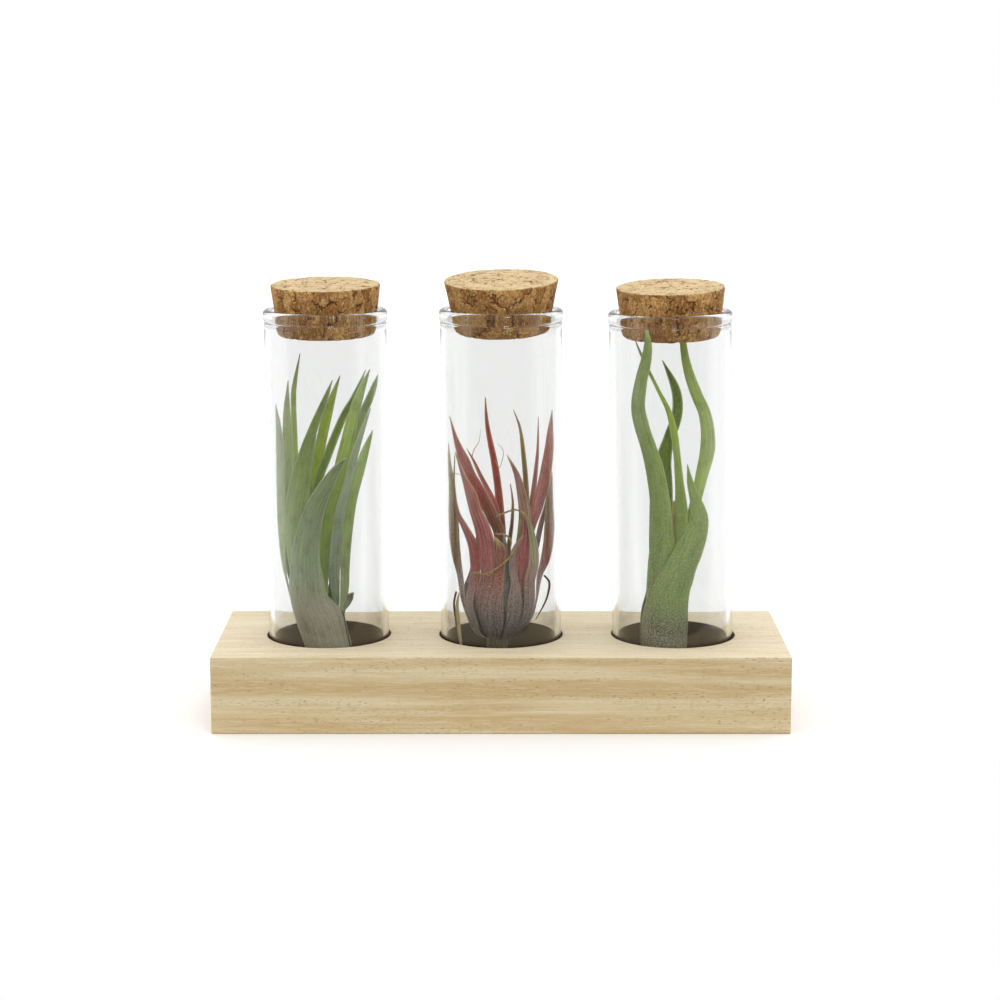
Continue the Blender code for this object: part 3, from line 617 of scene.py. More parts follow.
def corkFinish():
    made, tree, shader = startMaterial("pressedCork", 0.85)
    coords = millimetres(tree)
    tone, crack, pit = [attribute(tree, name) for name in ("chipTone", "crack", "pit")]
    fleck = speckle(tree, coords, 1.7, 4.0, 0.65)
    fibre = speckle(tree, millimetres(tree, (2.6, 2.6, 0.9)), 1.0, 3.0, 0.6, 1.2)
    colour = mixed(tree, remap(tree, tone, 0.15, 0.85), paint(146, 100, 50), paint(206, 160, 98))
    colour = mixed(tree, remap(tree, fleck, 0.35, 0.62, 0.8, 0.0), colour, paint(128, 80, 36))
    colour = mixed(tree, remap(tree, fibre, 0.5, 0.68, 0.0, 0.7), colour, paint(228, 194, 138))
    # painted top light: faces that look up are mixed towards a paler tone
    colour = mixed(tree, upward(tree, 0.55, 0.95, 0.66), colour, paint(226, 208, 164))
    # painted shade: thin seam lines, the sunk pits and the cracks between granules are painted darker for the shade
    # in the fissures
    seam = speckle(tree, millimetres(tree, (0.22, 0.75, 0.5)), 1.0, 5.0, 0.62, 0.8)
    seam = maths(tree, "ABSOLUTE", maths(tree, "SUBTRACT", seam, 0.5))
    colour = mixed(tree, remap(tree, seam, 0.004, 0.026, 0.75, 0.0), colour, paint(122, 80, 40))
    colour = mixed(tree, remap(tree, pit, 0.2, 1.0, 0.0, 0.6), colour, paint(104, 62, 30))
    colour = mixed(tree, remap(tree, crack, 0.15, 0.8, 0.0, 0.9), colour, paint(78, 44, 20))
    # painted light: the part inside the glass is painted paler, to stand in for the light it lacks behind the glass
    height = node(tree, "ShaderNodeSeparateXYZ", {0: coords}).outputs["Z"]
    paintedGlassLight = mixed(tree, 1.0, colour, (1.6, 1.6, 1.5), "MULTIPLY")
    colour = mixed(tree, remap(tree, height, 99.2, 100.8, 1.0, 0.0), colour, paintedGlassLight)
    plug(tree, shader.inputs["Base Color"], colour)
    bumped(tree, shader, fleck, 0.25, 0.9)
    shader.inputs["Specular IOR Level"].default_value = 0.25
    return made


def corkProfile(look, low, high, length):
    step, edge = look["step"], look["edge"]
    profile = linePoints((0.0, 0.0), (low - edge, 0.0), step)
    profile += arcPoints((low - edge, edge), edge, -90.0, -5.0, 3)
    profile += linePoints((low, edge), (high, length - edge), step)[1:]
    profile += arcPoints((high - edge, length - edge), edge, 5.0, 90.0, 3)
    profile += linePoints((high - edge, length), (0.0, length), step)[1:]
    profile += [(0.0, length)]
    return profile


def makeCorks(look):
    graph = corkGraph(look)
    texture = {"Granule": look["granule"], "CrackDepth": look["crackDepth"], "Grit": look["grit"]}
    finish = corkFinish()
    for side, spec in look["corks"].items():
        low, high = spec["radii"]
        points, faces = turned(corkProfile(look, low, high, spec["length"]), look["sides"])
        lean = math.radians(tubeLook["tubes"][side]["lean"])
        tip = math.radians(spec["tip"])
        axisX = tubeX[side] - math.sin(lean) * (spec["base"] - blockLook["height"])
        seat = Matrix.Translation((axisX + spec["shift"], look["seated"] * math.sin(tip), spec["base"]))
        seat = seat @ Matrix.Rotation(math.radians(-spec["lean"]), 4, "Y") @ Matrix.Rotation(tip, 4, "X")
        piece = meshPiece(side + "_cork_finish", [seat @ Vector(point) for point in points], faces)
        runGraph(piece, graph, Seed=spec["seed"], Finish=finish, **texture)
        settle(piece, "cork", side + "_cork")


makeCorks(corkLook)
print("corks done")


# Leaves.

leafTones = {
    "taupe": (143, 136, 118), "sage": (132, 145, 113), "sageLight": (136, 150, 98), "greyMoss": (112, 125, 88),
    "moss": (106, 126, 62), "spring": (138, 157, 46), "springDark": (88, 112, 34), "fresh": (134, 156, 76),
    "ash": (80, 84, 60), "mist": (142, 151, 112), "slateGreen": (124, 136, 110),
    "lead": (110, 101, 96), "pink": (158, 90, 86), "rose": (160, 100, 88), "brick": (144, 80, 64),
    "brickDark": (128, 76, 58), "wine": (130, 60, 55), "wineLight": (148, 70, 60), "scarlet": (144, 50, 34),
    "plum": (116, 80, 80), "stone": (134, 114, 107), "slate": (94, 109, 106), "roseGrey": (146, 108, 98),
    "mistGreen": (138, 144, 92), "bark": (112, 78, 50), "barkDark": (96, 54, 34), "olive": (130, 122, 62),
    "oliveLight": (148, 146, 80), "oliveDark": (84, 77, 46), "limeTip": (172, 176, 98), "tan": (178, 152, 104),
    "straw": (170, 160, 112),
    "leafGreen": (130, 150, 82), "leafLight": (148, 167, 86), "leafBright": (142, 163, 50), "leafDark": (88, 108, 32),
    "fern": (106, 106, 80), "fernDark": (84, 92, 58), "umber": (116, 92, 62),
}

leafForm = {
    "thick": 0.5, "tip": 0.12, "layerStep": 0.95,
    "ring": 0.75, "grain": 0.5, "rib": 0.035, "stray": 0.03, "tipLength": 3.5, "turning": (0.45, 0.85),
    "cup": 18.0, "patch": 0.22,
    "stems": {
        "left": {
            "axis": [(1.6, 0.0, 7.4), (0.8, 0.0, 12.0), (-0.5, 0.0, 17.0), (-2.1, 0.0, 23.0)],
            "radius": [5.2, 5.5, 5.7, 6.0], "lift": [0.0, 0.0, 0.0, 0.0],
            "bright": 2.0, "baseTone": (22.0, 38.0), "scurfTone": (24.0, 60.0, 0.8, 0.3),
        },
        "middle": {
            "axis": [(-0.9, 0.0, 18.4), (-0.9, 0.0, 20.2), (-0.4, 0.0, 23.6), (-0.5, 0.0, 28.4)],
            "radius": [4.0, 6.1, 8.1, 9.5], "lift": [0.85, 0.7, 0.4, 0.1],
            "bright": 1.9, "baseTone": (23.0, 41.0), "scurfTone": (26.0, 46.0, 1.0, 0.25),
        },
        "right": {
            "axis": [(-2.2, 0.0, 6.7), (-2.3, 0.0, 12.0), (-2.3, 0.0, 18.0), (-2.1, 0.0, 25.0)],
            "radius": [5.3, 5.7, 5.9, 5.8], "lift": [0.0, 0.0, 0.0, 0.0],
            "bright": 1.82, "baseTone": (20.0, 31.0), "scurfTone": (30.0, 62.0, 1.0, 0.35),
        },
    },
}


def leafPaint(name, bright):
    return [part * bright for part in paint(*leafTones[name])]


def wrappedBase(side, spec):
    # the part of a leaf that wraps its stem, at a radius set by its layer
    stem = leafForm["stems"][side]
    turn, layer, wrap, face = spec["base"]
    facing = math.radians(turn)
    made = []
    for centre, radius, lift in zip(stem["axis"], stem["radius"], stem["lift"]):
        step = leafForm["layerStep"] * (min(1.0, radius / 9.0) if side == "middle" else 1.0)
        reach = radius - step * layer
        x = centre[0] + reach * math.cos(facing)
        y = centre[1] + reach * math.sin(facing)
        width = 2.0 * reach * math.sin(math.radians(wrap))
        made.append((x, y, centre[2] + lift * layer, width, wrap, turn))
    return made[spec.get("skip", 0):]


def leafStations(side, spec):
    # place, width, curl and facing at every station from the base to the tip
    stations = wrappedBase(side, spec)
    turn, layer, wrap, face = spec["base"]
    cup = spec.get("cup", leafForm["cup"])
    for index, (x, y, z, width) in enumerate(spec["rise"]):
        share = (index + 1) / len(spec["rise"])
        curl = wrap * (1.0 - share) ** 1.5 + cup * (1.0 - (1.0 - share) ** 1.5)
        facing = turn + (face - turn) * min(1.0, 2.0 * share)
        stations.append((x, y, z, width, curl, facing))
    return [(x + tubeX[side], *rest) for x, *rest in stations]


def toneAt(side, spec, tones, height, gained, left):
    # base, body, upper and tip colours along a leaf
    base, body, upper, tip = tones
    tone = blendColour(base, body, smoothStep(height, *leafForm["stems"][side]["baseTone"]))
    tone = blendColour(tone, upper, smoothStep(gained, *spec.get("turning", leafForm["turning"])))
    return blendColour(tone, tip, 1.0 - smoothStep(left, 0.0, leafForm["tipLength"]))


def rimmed(spec, bright, tone, gained, share):
    # a few leaves carry another colour along a part of one edge
    if "rim" not in spec:
        return tone
    name, edgeSide, low, high = spec["rim"]
    there = smoothStep(gained, low, low + 0.1) * (1.0 - smoothStep(gained, high, high + 0.12))
    return blendColour(tone, leafPaint(name, bright), there * smoothStep(share * edgeSide, 0.8, 0.97))


def makeLeaf(name, side, spec, seed, finish, slot):
    form = leafForm
    stem = form["stems"][side]
    stations = leafStations(side, spec)
    tones = [leafPaint(tone, stem["bright"]) for tone in spec["tones"].split()]
    places, run = evenPlaces(stations, form["ring"])
    widest = max(station[3] for station in stations)
    across = 2 * max(3, min(16, round(widest * 1.15 / form["grain"] / 2.0)))
    low, high, most, least = stem["scurfTone"]
    points, rows, tints, edges, scurfs, maps = [], [], [], [], [], []
    for index, place in enumerate(places):
        x, y, z, width, curl, facing = flow(stations, place)
        ahead = flow(stations, min(place + 0.02, len(stations) - 1))
        behind = flow(stations, max(place - 0.02, 0.0))
        along = (Vector(ahead[:3]) - Vector(behind[:3])).normalized()
        out = Vector((math.cos(math.radians(facing)), math.sin(math.radians(facing)), 0.0))
        out = (out - along * out.dot(along)).normalized()
        aside = along.cross(out)
        gained = index / (len(places) - 1)
        gone = run * index / (len(places) - 1)
        width = max(width, 2.0 * form["tip"])
        width *= 1.0 + form["stray"] * noise.noise(Vector((gone * 0.21, seed * 7.7, 1.0)))
        curl = math.radians(max(curl, 3.0))
        bow = width / 2.0 / math.sin(min(curl, math.pi / 2.0))
        depth = min(form["thick"], 0.4 * width)
        tone = toneAt(side, spec, tones, z, gained, run - gone)
        scurf = most + (least - most) * smoothStep(z, low, high)
        outer, inner = [], []
        for step in range(across + 1):
            share = 2.0 * step / across - 1.0
            turn = share * curl
            reach = turn * bow
            spot = Vector((x, y, z)) + aside * (bow * math.sin(turn)) - out * (bow * (1.0 - math.cos(turn)))
            normal = out * math.cos(turn) + aside * math.sin(turn)
            fade = 1.0 - abs(share) ** 3
            half = depth / 2.0 * fade
            rib = form["rib"] * fade * noise.noise(Vector((reach * 1.7, gone * 0.05, seed * 3.1)))
            patch = 1.0 + form["patch"] * noise.noise(Vector((reach * 0.35, gone * 0.07, seed * 5.3 + 9.0)))
            edge = 1.0 - smoothStep((1.0 - abs(share)) * curl * bow, 0.08, 0.42)
            shade = rimmed(spec, stem["bright"], tone, gained, share)
            sides = [(outer, 1.0)] if step in (0, across) else [(outer, 1.0), (inner, -1.0)]
            for row, way in sides:
                row.append(len(points))
                points.append(spot + normal * (way * (half + rib)))
                tints += [part * patch for part in shade] + [1.0]
                edges.append(edge)
                scurfs.append(scurf)
                maps.append((reach, gone))
        rows.append((outer, inner))
    faces = ringFaces([outer + inner[::-1] for outer, inner in rows])
    for (outer, inner), flip in ((rows[0], True), (rows[-1], False)):
        under = [outer[0]] + inner + [outer[-1]]
        for step in range(across):
            corners = list(dict.fromkeys([outer[step], outer[step + 1], under[step + 1], under[step]]))
            faces.append(corners[::-1] if flip else corners)
    piece = meshPiece(name + "_finish", points, faces)
    mesh = piece.data
    mesh.attributes.new("tint", "FLOAT_COLOR", "POINT").data.foreach_set("color", tints)
    for key, values in (("edge", edges), ("scurf", scurfs)):
        mesh.attributes.new(key, "FLOAT", "POINT").data.foreach_set("value", values)
    flat = [part for loop in mesh.loops for part in maps[loop.vertex_index]]
    mesh.uv_layers.new(name="grainMap").data.foreach_set("uv", flat)
    mesh.materials.append(finish)
    settle(piece, slot, name)


def leafFinish(name, look):
    made, tree, shader = startMaterial(name, look["roughness"])
    grain = node(tree, "ShaderNodeUVMap", uv_map="grainMap").outputs["UV"]

    def stretched(across, along):
        return node(tree, "ShaderNodeMapping", {"Vector": grain, "Scale": (across, along, 1.0)}).outputs["Vector"]

    tint, edge, scurf = attribute(tree, "tint", "Color"), attribute(tree, "edge"), attribute(tree, "scurf")
    stripe = speckle(tree, stretched(look["stripePitch"], 0.05), 1.0, 2.0, 0.5)
    fine = speckle(tree, stretched(6.0, 0.35), 1.0, 2.0, 0.5)
    mottle = speckle(tree, stretched(0.6, 0.22), 1.0, 4.0, 0.6)
    dots = cells(tree, stretched(2.3, 2.1), 1.0, voronoi_dimensions="2D")
    dust = speckle(tree, stretched(2.2, 1.4), 1.0, 3.0, 0.65)
    striped = mixed(tree, 1.0, tint, remap(tree, stripe, 0.3, 0.7, 0.2, 1.8), "MULTIPLY")
    colour = mixed(tree, look["stripe"], tint, striped)
    colour = mixed(tree, remap(tree, fine, 0.5, 0.72, 0.0, look["fine"]), colour, look["paleTone"])
    colour = mixed(tree, remap(tree, mottle, 0.5, 0.68, 0.0, look["mottle"]), colour, look["darkTone"])
    flecks = maths(tree, "MULTIPLY", remap(tree, dots, 0.2, 0.44, 1.0, 0.0), remap(tree, dust, 0.36, 0.56))
    flecks = maths(tree, "MULTIPLY", flecks, maths(tree, "MULTIPLY", scurf, look["scurf"]))
    colour = mixed(tree, flecks, colour, look["scurfTone"])
    colour = mixed(tree, maths(tree, "MULTIPLY", edge, look["edge"]), colour, look["edgeTone"])
    plug(tree, shader.inputs["Base Color"], colour)
    shader.inputs["Specular IOR Level"].default_value = look["shine"]
    height = maths(tree, "ADD", stripe, maths(tree, "MULTIPLY", flecks, 0.3))
    bumped(tree, shader, height, 0.16, 0.8)
    return made


plantLooks = {
    "left": {
        "roughness": 0.6, "shine": 0.3, "stripePitch": 2.4, "stripe": 0.26, "fine": 0.3, "mottle": 0.4,
        "scurf": 0.8, "edge": 0.9, "paleTone": paint(206, 214, 168), "darkTone": paint(112, 118, 76),
        "scurfTone": paint(212, 212, 184), "edgeTone": paint(220, 224, 182),
    },
    "middle": {
        "roughness": 0.5, "shine": 0.35, "stripePitch": 2.6, "stripe": 0.6, "fine": 0.25, "mottle": 0.4,
        "scurf": 0.95, "edge": 0.6, "paleTone": paint(228, 180, 152), "darkTone": paint(118, 72, 62),
        "scurfTone": paint(206, 198, 180), "edgeTone": paint(226, 194, 158),
    },
    "right": {
        "roughness": 0.58, "shine": 0.3, "stripePitch": 2.6, "stripe": 0.22, "fine": 0.25, "mottle": 0.35,
        "scurf": 1.0, "edge": 0.85, "paleTone": paint(206, 218, 156), "darkTone": paint(96, 108, 58),
        "scurfTone": paint(220, 224, 192), "edgeTone": paint(214, 220, 162),
    },
}

# Base of a leaf: the way it faces, its layer, half the angle it wraps, and the way it faces higher up.
# Rise: x and y from the tube's axis, height and width at each station above the base.

greenLeaves = {
    "green_leaf_front": {"base": (-95, 0, 75, -92), "tones": "taupe sage greyMoss ash", "rise": [
        (-4.8, -6.3, 28.7, 9.5), (-5.2, -6.8, 35.0, 8.2), (-5.2, -7.0, 40.5, 7.0), (-4.1, -7.1, 46.8, 5.8),
        (-2.1, -7.0, 53.2, 4.6), (0.7, -6.6, 58.6, 3.3), (3.0, -6.3, 62.1, 2.0), (5.2, -6.0, 64.7, 0.2)]},
    "green_leaf_left_broad": {"base": (-128, 1, 44, -100), "tones": "taupe sageLight moss ash", "rise": [
        (-7.6, -3.9, 34.2, 5.1), (-7.9, -4.2, 42.4, 6.2), (-7.5, -4.2, 51.2, 6.3), (-6.3, -3.8, 58.7, 5.2),
        (-4.9, -3.4, 64.8, 4.0), (-3.2, -3.0, 71.0, 2.4), (-0.2, -2.6, 78.3, 1.5), (1.7, -2.2, 83.2, 0.2)]},
    "green_leaf_back_bright": {"base": (120, 1, 28, 95), "tones": "moss spring spring ash", "rise": [
        (-6.0, 1.6, 33.6, 3.0), (-5.8, 1.2, 45.5, 3.2), (-4.5, 1.0, 55.6, 3.0), (-2.3, 1.0, 64.0, 2.7),
        (-0.4, 1.4, 72.2, 2.5), (1.2, 1.8, 77.8, 1.8), (3.3, 2.4, 83.7, 0.2)]},
    "green_leaf_middle_dark": {"base": (61, 1, 25, 75), "tones": "moss moss springDark ash", "rise": [
        (-3.6, 0.4, 33.2, 2.6), (-3.8, -0.6, 42.1, 2.5), (-3.3, -1.2, 50.9, 2.5), (-2.0, -1.2, 58.3, 2.3),
        (0.1, -0.9, 64.0, 2.3), (4.0, -0.2, 73.5, 1.9), (6.6, 0.2, 78.0, 1.7), (9.7, 0.8, 85.3, 0.2)]},
    "green_leaf_right_broad": {"base": (-62, 3, 36, -88), "tones": "greyMoss fresh fresh sage", "rise": [
        (-1.4, -2.7, 29.5, 3.4), (-1.0, -3.2, 38.5, 3.4), (0.2, -3.5, 49.0, 3.2), (1.9, -3.5, 54.6, 3.2),
        (3.7, -3.3, 62.1, 3.3), (5.3, -3.1, 68.2, 3.3), (6.7, -2.8, 74.4, 2.7), (8.4, -2.5, 80.0, 2.1),
        (10.8, -2.2, 85.9, 0.2)]},
    "green_leaf_right_grey": {"base": (-45, 2, 32, -80), "tones": "slateGreen slateGreen sage sageLight", "rise": [
        (1.9, -1.1, 27.5, 2.4), (1.85, -2.35, 31.5, 2.7), (1.85, -4.45, 38.0, 3.2), (3.3, -5.2, 49.9, 2.8),
        (5.3, -5.0, 57.6, 2.4), (6.8, -4.8, 64.3, 2.0), (8.5, -4.6, 69.7, 1.3), (10.9, -4.4, 76.6, 0.2)]},
    "green_leaf_right_tall": {"base": (67, 0, 23, 70), "tones": "moss fresh moss ash", "rise": [
        (1.4, 2.4, 32.6, 2.6), (1.7, 1.6, 42.7, 2.5), (2.9, 1.0, 52.8, 2.5), (4.5, 0.8, 61.4, 2.5),
        (6.5, 0.9, 67.9, 2.5), (8.6, 1.3, 73.6, 2.3), (10.5, 1.8, 77.7, 2.0), (12.1, 2.3, 81.6, 1.4),
        (13.0, 2.6, 84.0, 0.2)]},
    "green_leaf_right_outer": {"base": (-12, 1, 12, -75), "tones": "mist sageLight fresh moss", "rise": [
        (3.3, -1.2, 26.2, 2.4), (4.1, -1.2, 29.8, 3.2), (4.35, -1.8, 35.5, 2.9), (4.6, -2.9, 42.0, 3.1),
        (5.3, -3.4, 48.4, 2.8), (6.5, -3.9, 54.7, 2.5), (8.2, -4.1, 61.0, 2.4), (9.2, -4.2, 64.8, 2.1),
        (10.4, -4.3, 68.5, 1.2), (11.3, -4.4, 71.1, 0.2)]},
    "green_leaf_right_stub": {"base": (22, 0, 14, -70), "tones": "taupe slateGreen slateGreen ash", "rise": [
        (4.5, 2.0, 26.0, 2.8), (5.1, 1.7, 28.0, 2.2), (6.2, 1.3, 29.3, 0.2)]},
    "green_leaf_left_outer": {"base": (174, 0, 11, 232), "tones": "mist sageLight mist mist", "rise": [
        (-10.2, -0.4, 31.6, 3.0), (-11.3, -0.9, 38.1, 3.6), (-11.6, -1.0, 45.7, 3.7), (-11.6, -1.1, 54.5, 3.6),
        (-11.6, -1.4, 64.5, 3.2), (-11.9, -1.4, 72.0, 2.0), (-12.4, -1.2, 77.2, 0.2)]},
    "green_leaf_left_second": {"base": (168, 1, 14, 120), "tones": "mist sageLight sageLight sage", "rise": [
        (-8.7, 0.9, 30.0, 2.5), (-10.1, 0.6, 37.7, 2.6), (-10.1, 0.6, 47.9, 2.6), (-10.0, 0.6, 59.3, 2.6),
        (-10.0, 0.8, 70.2, 2.4), (-9.9, 1.0, 76.7, 1.6), (-9.5, 1.2, 82.6, 0.2)]},
    "green_leaf_left_tall": {"base": (125, 0, 30, 100), "tones": "moss sageLight fresh springDark", "rise": [
        (-7.0, 3.6, 29.5, 2.6), (-8.0, 3.8, 41.0, 2.2), (-8.2, 4.0, 52.4, 1.9), (-8.4, 4.2, 65.5, 1.6),
        (-8.6, 4.4, 77.5, 1.4), (-8.1, 4.6, 82.2, 1.1), (-6.8, 5.0, 88.8, 0.2)]},
    "green_leaf_left_short": {"base": (170, 2, 20, 200), "tones": "moss moss moss ash", "rise": [
        (-6.8, -0.1, 31.0, 1.7), (-7.6, -0.5, 40.0, 1.6), (-8.0, -0.7, 50.0, 1.4), (-8.1, -0.6, 58.0, 1.0),
        (-8.2, -0.6, 65.5, 0.2)]},
}

redLeaves = {
    "red_leaf_front": {"base": (-100, 0, 17, -100), "tones": "lead brick brickDark limeTip", "rise": [
        (-0.7, -8.9, 35.8, 3.2), (-0.3, -8.6, 39.3, 2.8), (-0.1, -8.3, 42.4, 2.4), (-1.5, -8.0, 45.3, 0.2)]},
    "red_leaf_front_pink": {"base": (-120, 1, 19, -110), "tones": "lead pink rose pink", "rise": [
        (-3.6, -7.7, 35.1, 3.6), (-3.5, -7.4, 39.1, 4.3), (-3.8, -7.1, 43.3, 4.6), (-4.7, -6.8, 47.4, 4.1),
        (-6.2, -6.4, 51.4, 3.2), (-7.3, -6.2, 55.6, 3.0), (-8.8, -5.9, 59.5, 1.5), (-10.9, -5.5, 65.9, 0.2)]},
    "red_leaf_front_speckled": {"base": (-66, 0, 13, -66), "tones": "lead stone stone olive", "rise": [
        (3.4, -8.4, 33.4, 2.4), (2.8, -8.2, 37.1, 1.9), (3.0, -8.0, 40.8, 1.7), (4.0, -7.9, 43.5, 1.2),
        (5.4, -7.8, 45.7, 0.2)]},
    "red_leaf_front_teal": {"base": (-82, 1, 12, -82), "tones": "lead slate slate slate", "rise": [
        (1.4, -7.4, 34.2, 2.2), (1.3, -7.0, 38.7, 1.6), (1.0, -6.7, 42.9, 1.0), (0.5, -6.4, 46.1, 0.2)]},
    "red_leaf_right_front": {"base": (-36, 0, 15, -60), "tones": "lead roseGrey mistGreen mistGreen", "rise": [
        (7.1, -6.4, 33.6, 4.0), (7.9, -6.3, 37.4, 3.4), (8.1, -6.1, 41.0, 2.6), (7.6, -6.0, 45.0, 1.9),
        (6.7, -5.8, 48.7, 1.1), (5.2, -5.6, 51.2, 0.2)]},
    "red_leaf_right_pink": {"base": (-50, 1, 18, -75), "tones": "lead pink pink rose", "rise": [
        (5.1, -5.6, 34.4, 3.6), (5.3, -5.2, 38.6, 3.5), (5.8, -4.9, 42.8, 2.6), (6.1, -4.7, 46.8, 1.8),
        (5.4, -4.5, 50.8, 0.2)]},
    "red_leaf_left_red": {"base": (-140, 0, 9, -115), "tones": "lead wineLight wine bark", "rise": [
        (-6.6, -4.9, 34.6, 3.0), (-6.4, -4.9, 38.6, 3.3), (-7.0, -5.0, 42.8, 2.8), (-8.7, -4.8, 46.8, 1.9),
        (-10.6, -4.4, 51.0, 1.2), (-11.3, -4.2, 57.4, 0.6), (-11.1, -4.0, 64.9, 0.2)]},
    "red_leaf_left_outer": {"base": (-159, 0, 10, -95), "tones": "lead bark olive olive", "rise": [
        (-10.1, -2.6, 34.0, 2.8), (-10.8, -2.9, 38.1, 2.7), (-11.3, -3.0, 42.4, 2.6), (-11.5, -2.8, 46.4, 2.5),
        (-11.7, -2.6, 50.6, 2.3), (-12.0, -2.3, 56.8, 1.6), (-12.6, -2.0, 63.1, 0.8),
        (-12.8, -1.8, 67.5, 0.2)]},
    "red_leaf_left_long": {"base": (-150, 3, 24, -95), "turning": (0.5, 0.66), "rim": ("olive", -1.0, 0.5, 0.85),
        "tones": "lead bark wineLight oliveLight", "rise": [
        (-1.6, -4.4, 38.7, 3.3), (-0.6, -4.7, 45.0, 3.6), (-2.1, -4.5, 49.3, 3.5), (-4.1, -4.3, 53.5, 3.2),
        (-5.7, -4.0, 56.7, 2.8), (-7.5, -3.7, 59.9, 2.7), (-8.9, -3.4, 63.3, 2.6), (-10.2, -3.1, 66.5, 1.8),
        (-11.3, -2.9, 70.0, 0.9), (-12.4, -2.6, 74.3, 0.2)]},
    "red_leaf_left_inner": {"base": (168, 2, 18, 150), "tones": "lead wine wineLight bark", "rise": [
        (-2.0, -1.8, 40.0, 2.0), (-0.6, -2.2, 47.1, 2.0), (-1.2, -2.2, 51.4, 2.0), (-2.7, -2.1, 54.8, 1.9),
        (-4.8, -1.8, 58.8, 1.7), (-6.7, -1.5, 63.0, 1.0), (-8.5, -1.2, 66.2, 0.2)]},
    "red_leaf_tall": {"base": (112, 0, 25, 95), "tones": "lead wineLight scarlet plum", "rise": [
        (-0.6, 6.4, 37.6, 3.2), (0.0, 4.6, 43.4, 2.4), (-0.2, 3.2, 49.0, 2.1), (-0.8, 2.4, 56.0, 1.9),
        (-1.7, 2.0, 62.3, 1.7), (-3.4, 1.8, 71.3, 1.1), (-3.9, 1.8, 78.4, 0.2)]},
    "red_leaf_back_thin": {"base": (62, 0, 21, 80), "tones": "lead bark olive tan", "rise": [
        (4.6, 6.4, 37.2, 3.0), (6.2, 5.6, 44.8, 2.2), (6.4, 5.2, 54.4, 1.5), (5.7, 5.0, 63.4, 1.2),
        (4.8, 4.8, 70.2, 0.7), (3.1, 4.8, 74.9, 0.2)]},
    "red_leaf_back_straight": {"base": (45, 1, 17, 60), "tones": "lead bark wineLight tan", "rise": [
        (6.0, 2.2, 37.6, 2.6), (6.8, 2.0, 45.2, 2.0), (7.8, 2.0, 52.2, 1.6), (8.6, 2.0, 58.5, 1.3),
        (9.2, 2.0, 65.5, 0.8), (9.3, 2.0, 73.6, 0.2)]},
    "red_leaf_right_tall": {"base": (-8, 2, 18, -70), "tones": "lead wineLight wineLight olive", "rise": [
        (6.4, -1.4, 38.1, 2.5), (7.5, -1.6, 45.0, 2.4), (8.9, -2.0, 51.1, 3.3), (10.6, -1.9, 57.8, 3.2),
        (11.8, -1.8, 65.5, 2.6), (12.1, -1.8, 70.7, 1.6), (12.5, -1.6, 75.7, 0.2)]},
    "red_leaf_right_outer": {"base": (-9, 0, 10, -85), "tones": "lead wine bark bark", "rise": [
        (9.6, -2.4, 34.0, 3.0), (10.8, -3.0, 38.0, 3.0), (11.5, -3.2, 42.4, 2.6), (11.8, -3.0, 46.9, 2.4),
        (11.8, -2.8, 51.2, 2.0), (12.0, -2.8, 54.9, 1.3), (12.4, -2.6, 60.4, 0.2)]},
    "red_leaf_right_thin": {"base": (14, 1, 10, -60), "tones": "lead barkDark barkDark bark", "rise": [
        (8.2, 1.0, 36.7, 2.2), (9.1, 0.4, 41.7, 1.9), (10.0, 0.0, 46.8, 1.6), (11.4, 0.0, 52.3, 1.1),
        (11.8, 0.0, 56.1, 0.2)]},
    "red_leaf_centre_upper": {"base": (-60, 3, 20, -85), "tones": "lead olive roseGrey limeTip", "rise": [
        (4.2, -3.1, 38.4, 2.7), (5.3, -3.4, 44.2, 2.9), (5.9, -3.2, 49.5, 3.1), (5.3, -3.1, 54.0, 2.5),
        (3.8, -3.0, 60.0, 1.4), (1.5, -2.8, 64.7, 0.2)]},
    "red_leaf_centre_small": {"base": (90, 4, 20, 90), "tones": "lead oliveDark oliveDark bark", "rise": [
        (1.6, 0.2, 38.0, 1.4), (2.1, -0.6, 42.8, 1.1), (2.7, -0.8, 47.3, 0.9), (2.9, -0.8, 52.6, 0.6),
        (2.3, -0.8, 57.2, 0.2)]},
    "red_leaf_back_left": {"base": (156, 0, 15, 156), "tones": "lead wine bark olive", "rise": [
        (-7.6, 4.6, 34.0, 2.6), (-6.4, 5.2, 40.0, 2.0), (-5.6, 5.6, 46.0, 1.2), (-4.6, 6.0, 51.0, 0.2)]},
    "red_leaf_dry": {"base": (220, 0, 10, 220), "skip": 4, "tones": "straw straw straw straw", "rise": [
        (-10.2, -4.3, 30.4, 0.5), (-10.7, -4.5, 27.0, 1.2), (-10.4, -4.4, 22.4, 1.4), (-9.9, -4.0, 17.6, 1.1),
        (-9.4, -3.4, 12.6, 0.2)]},
}

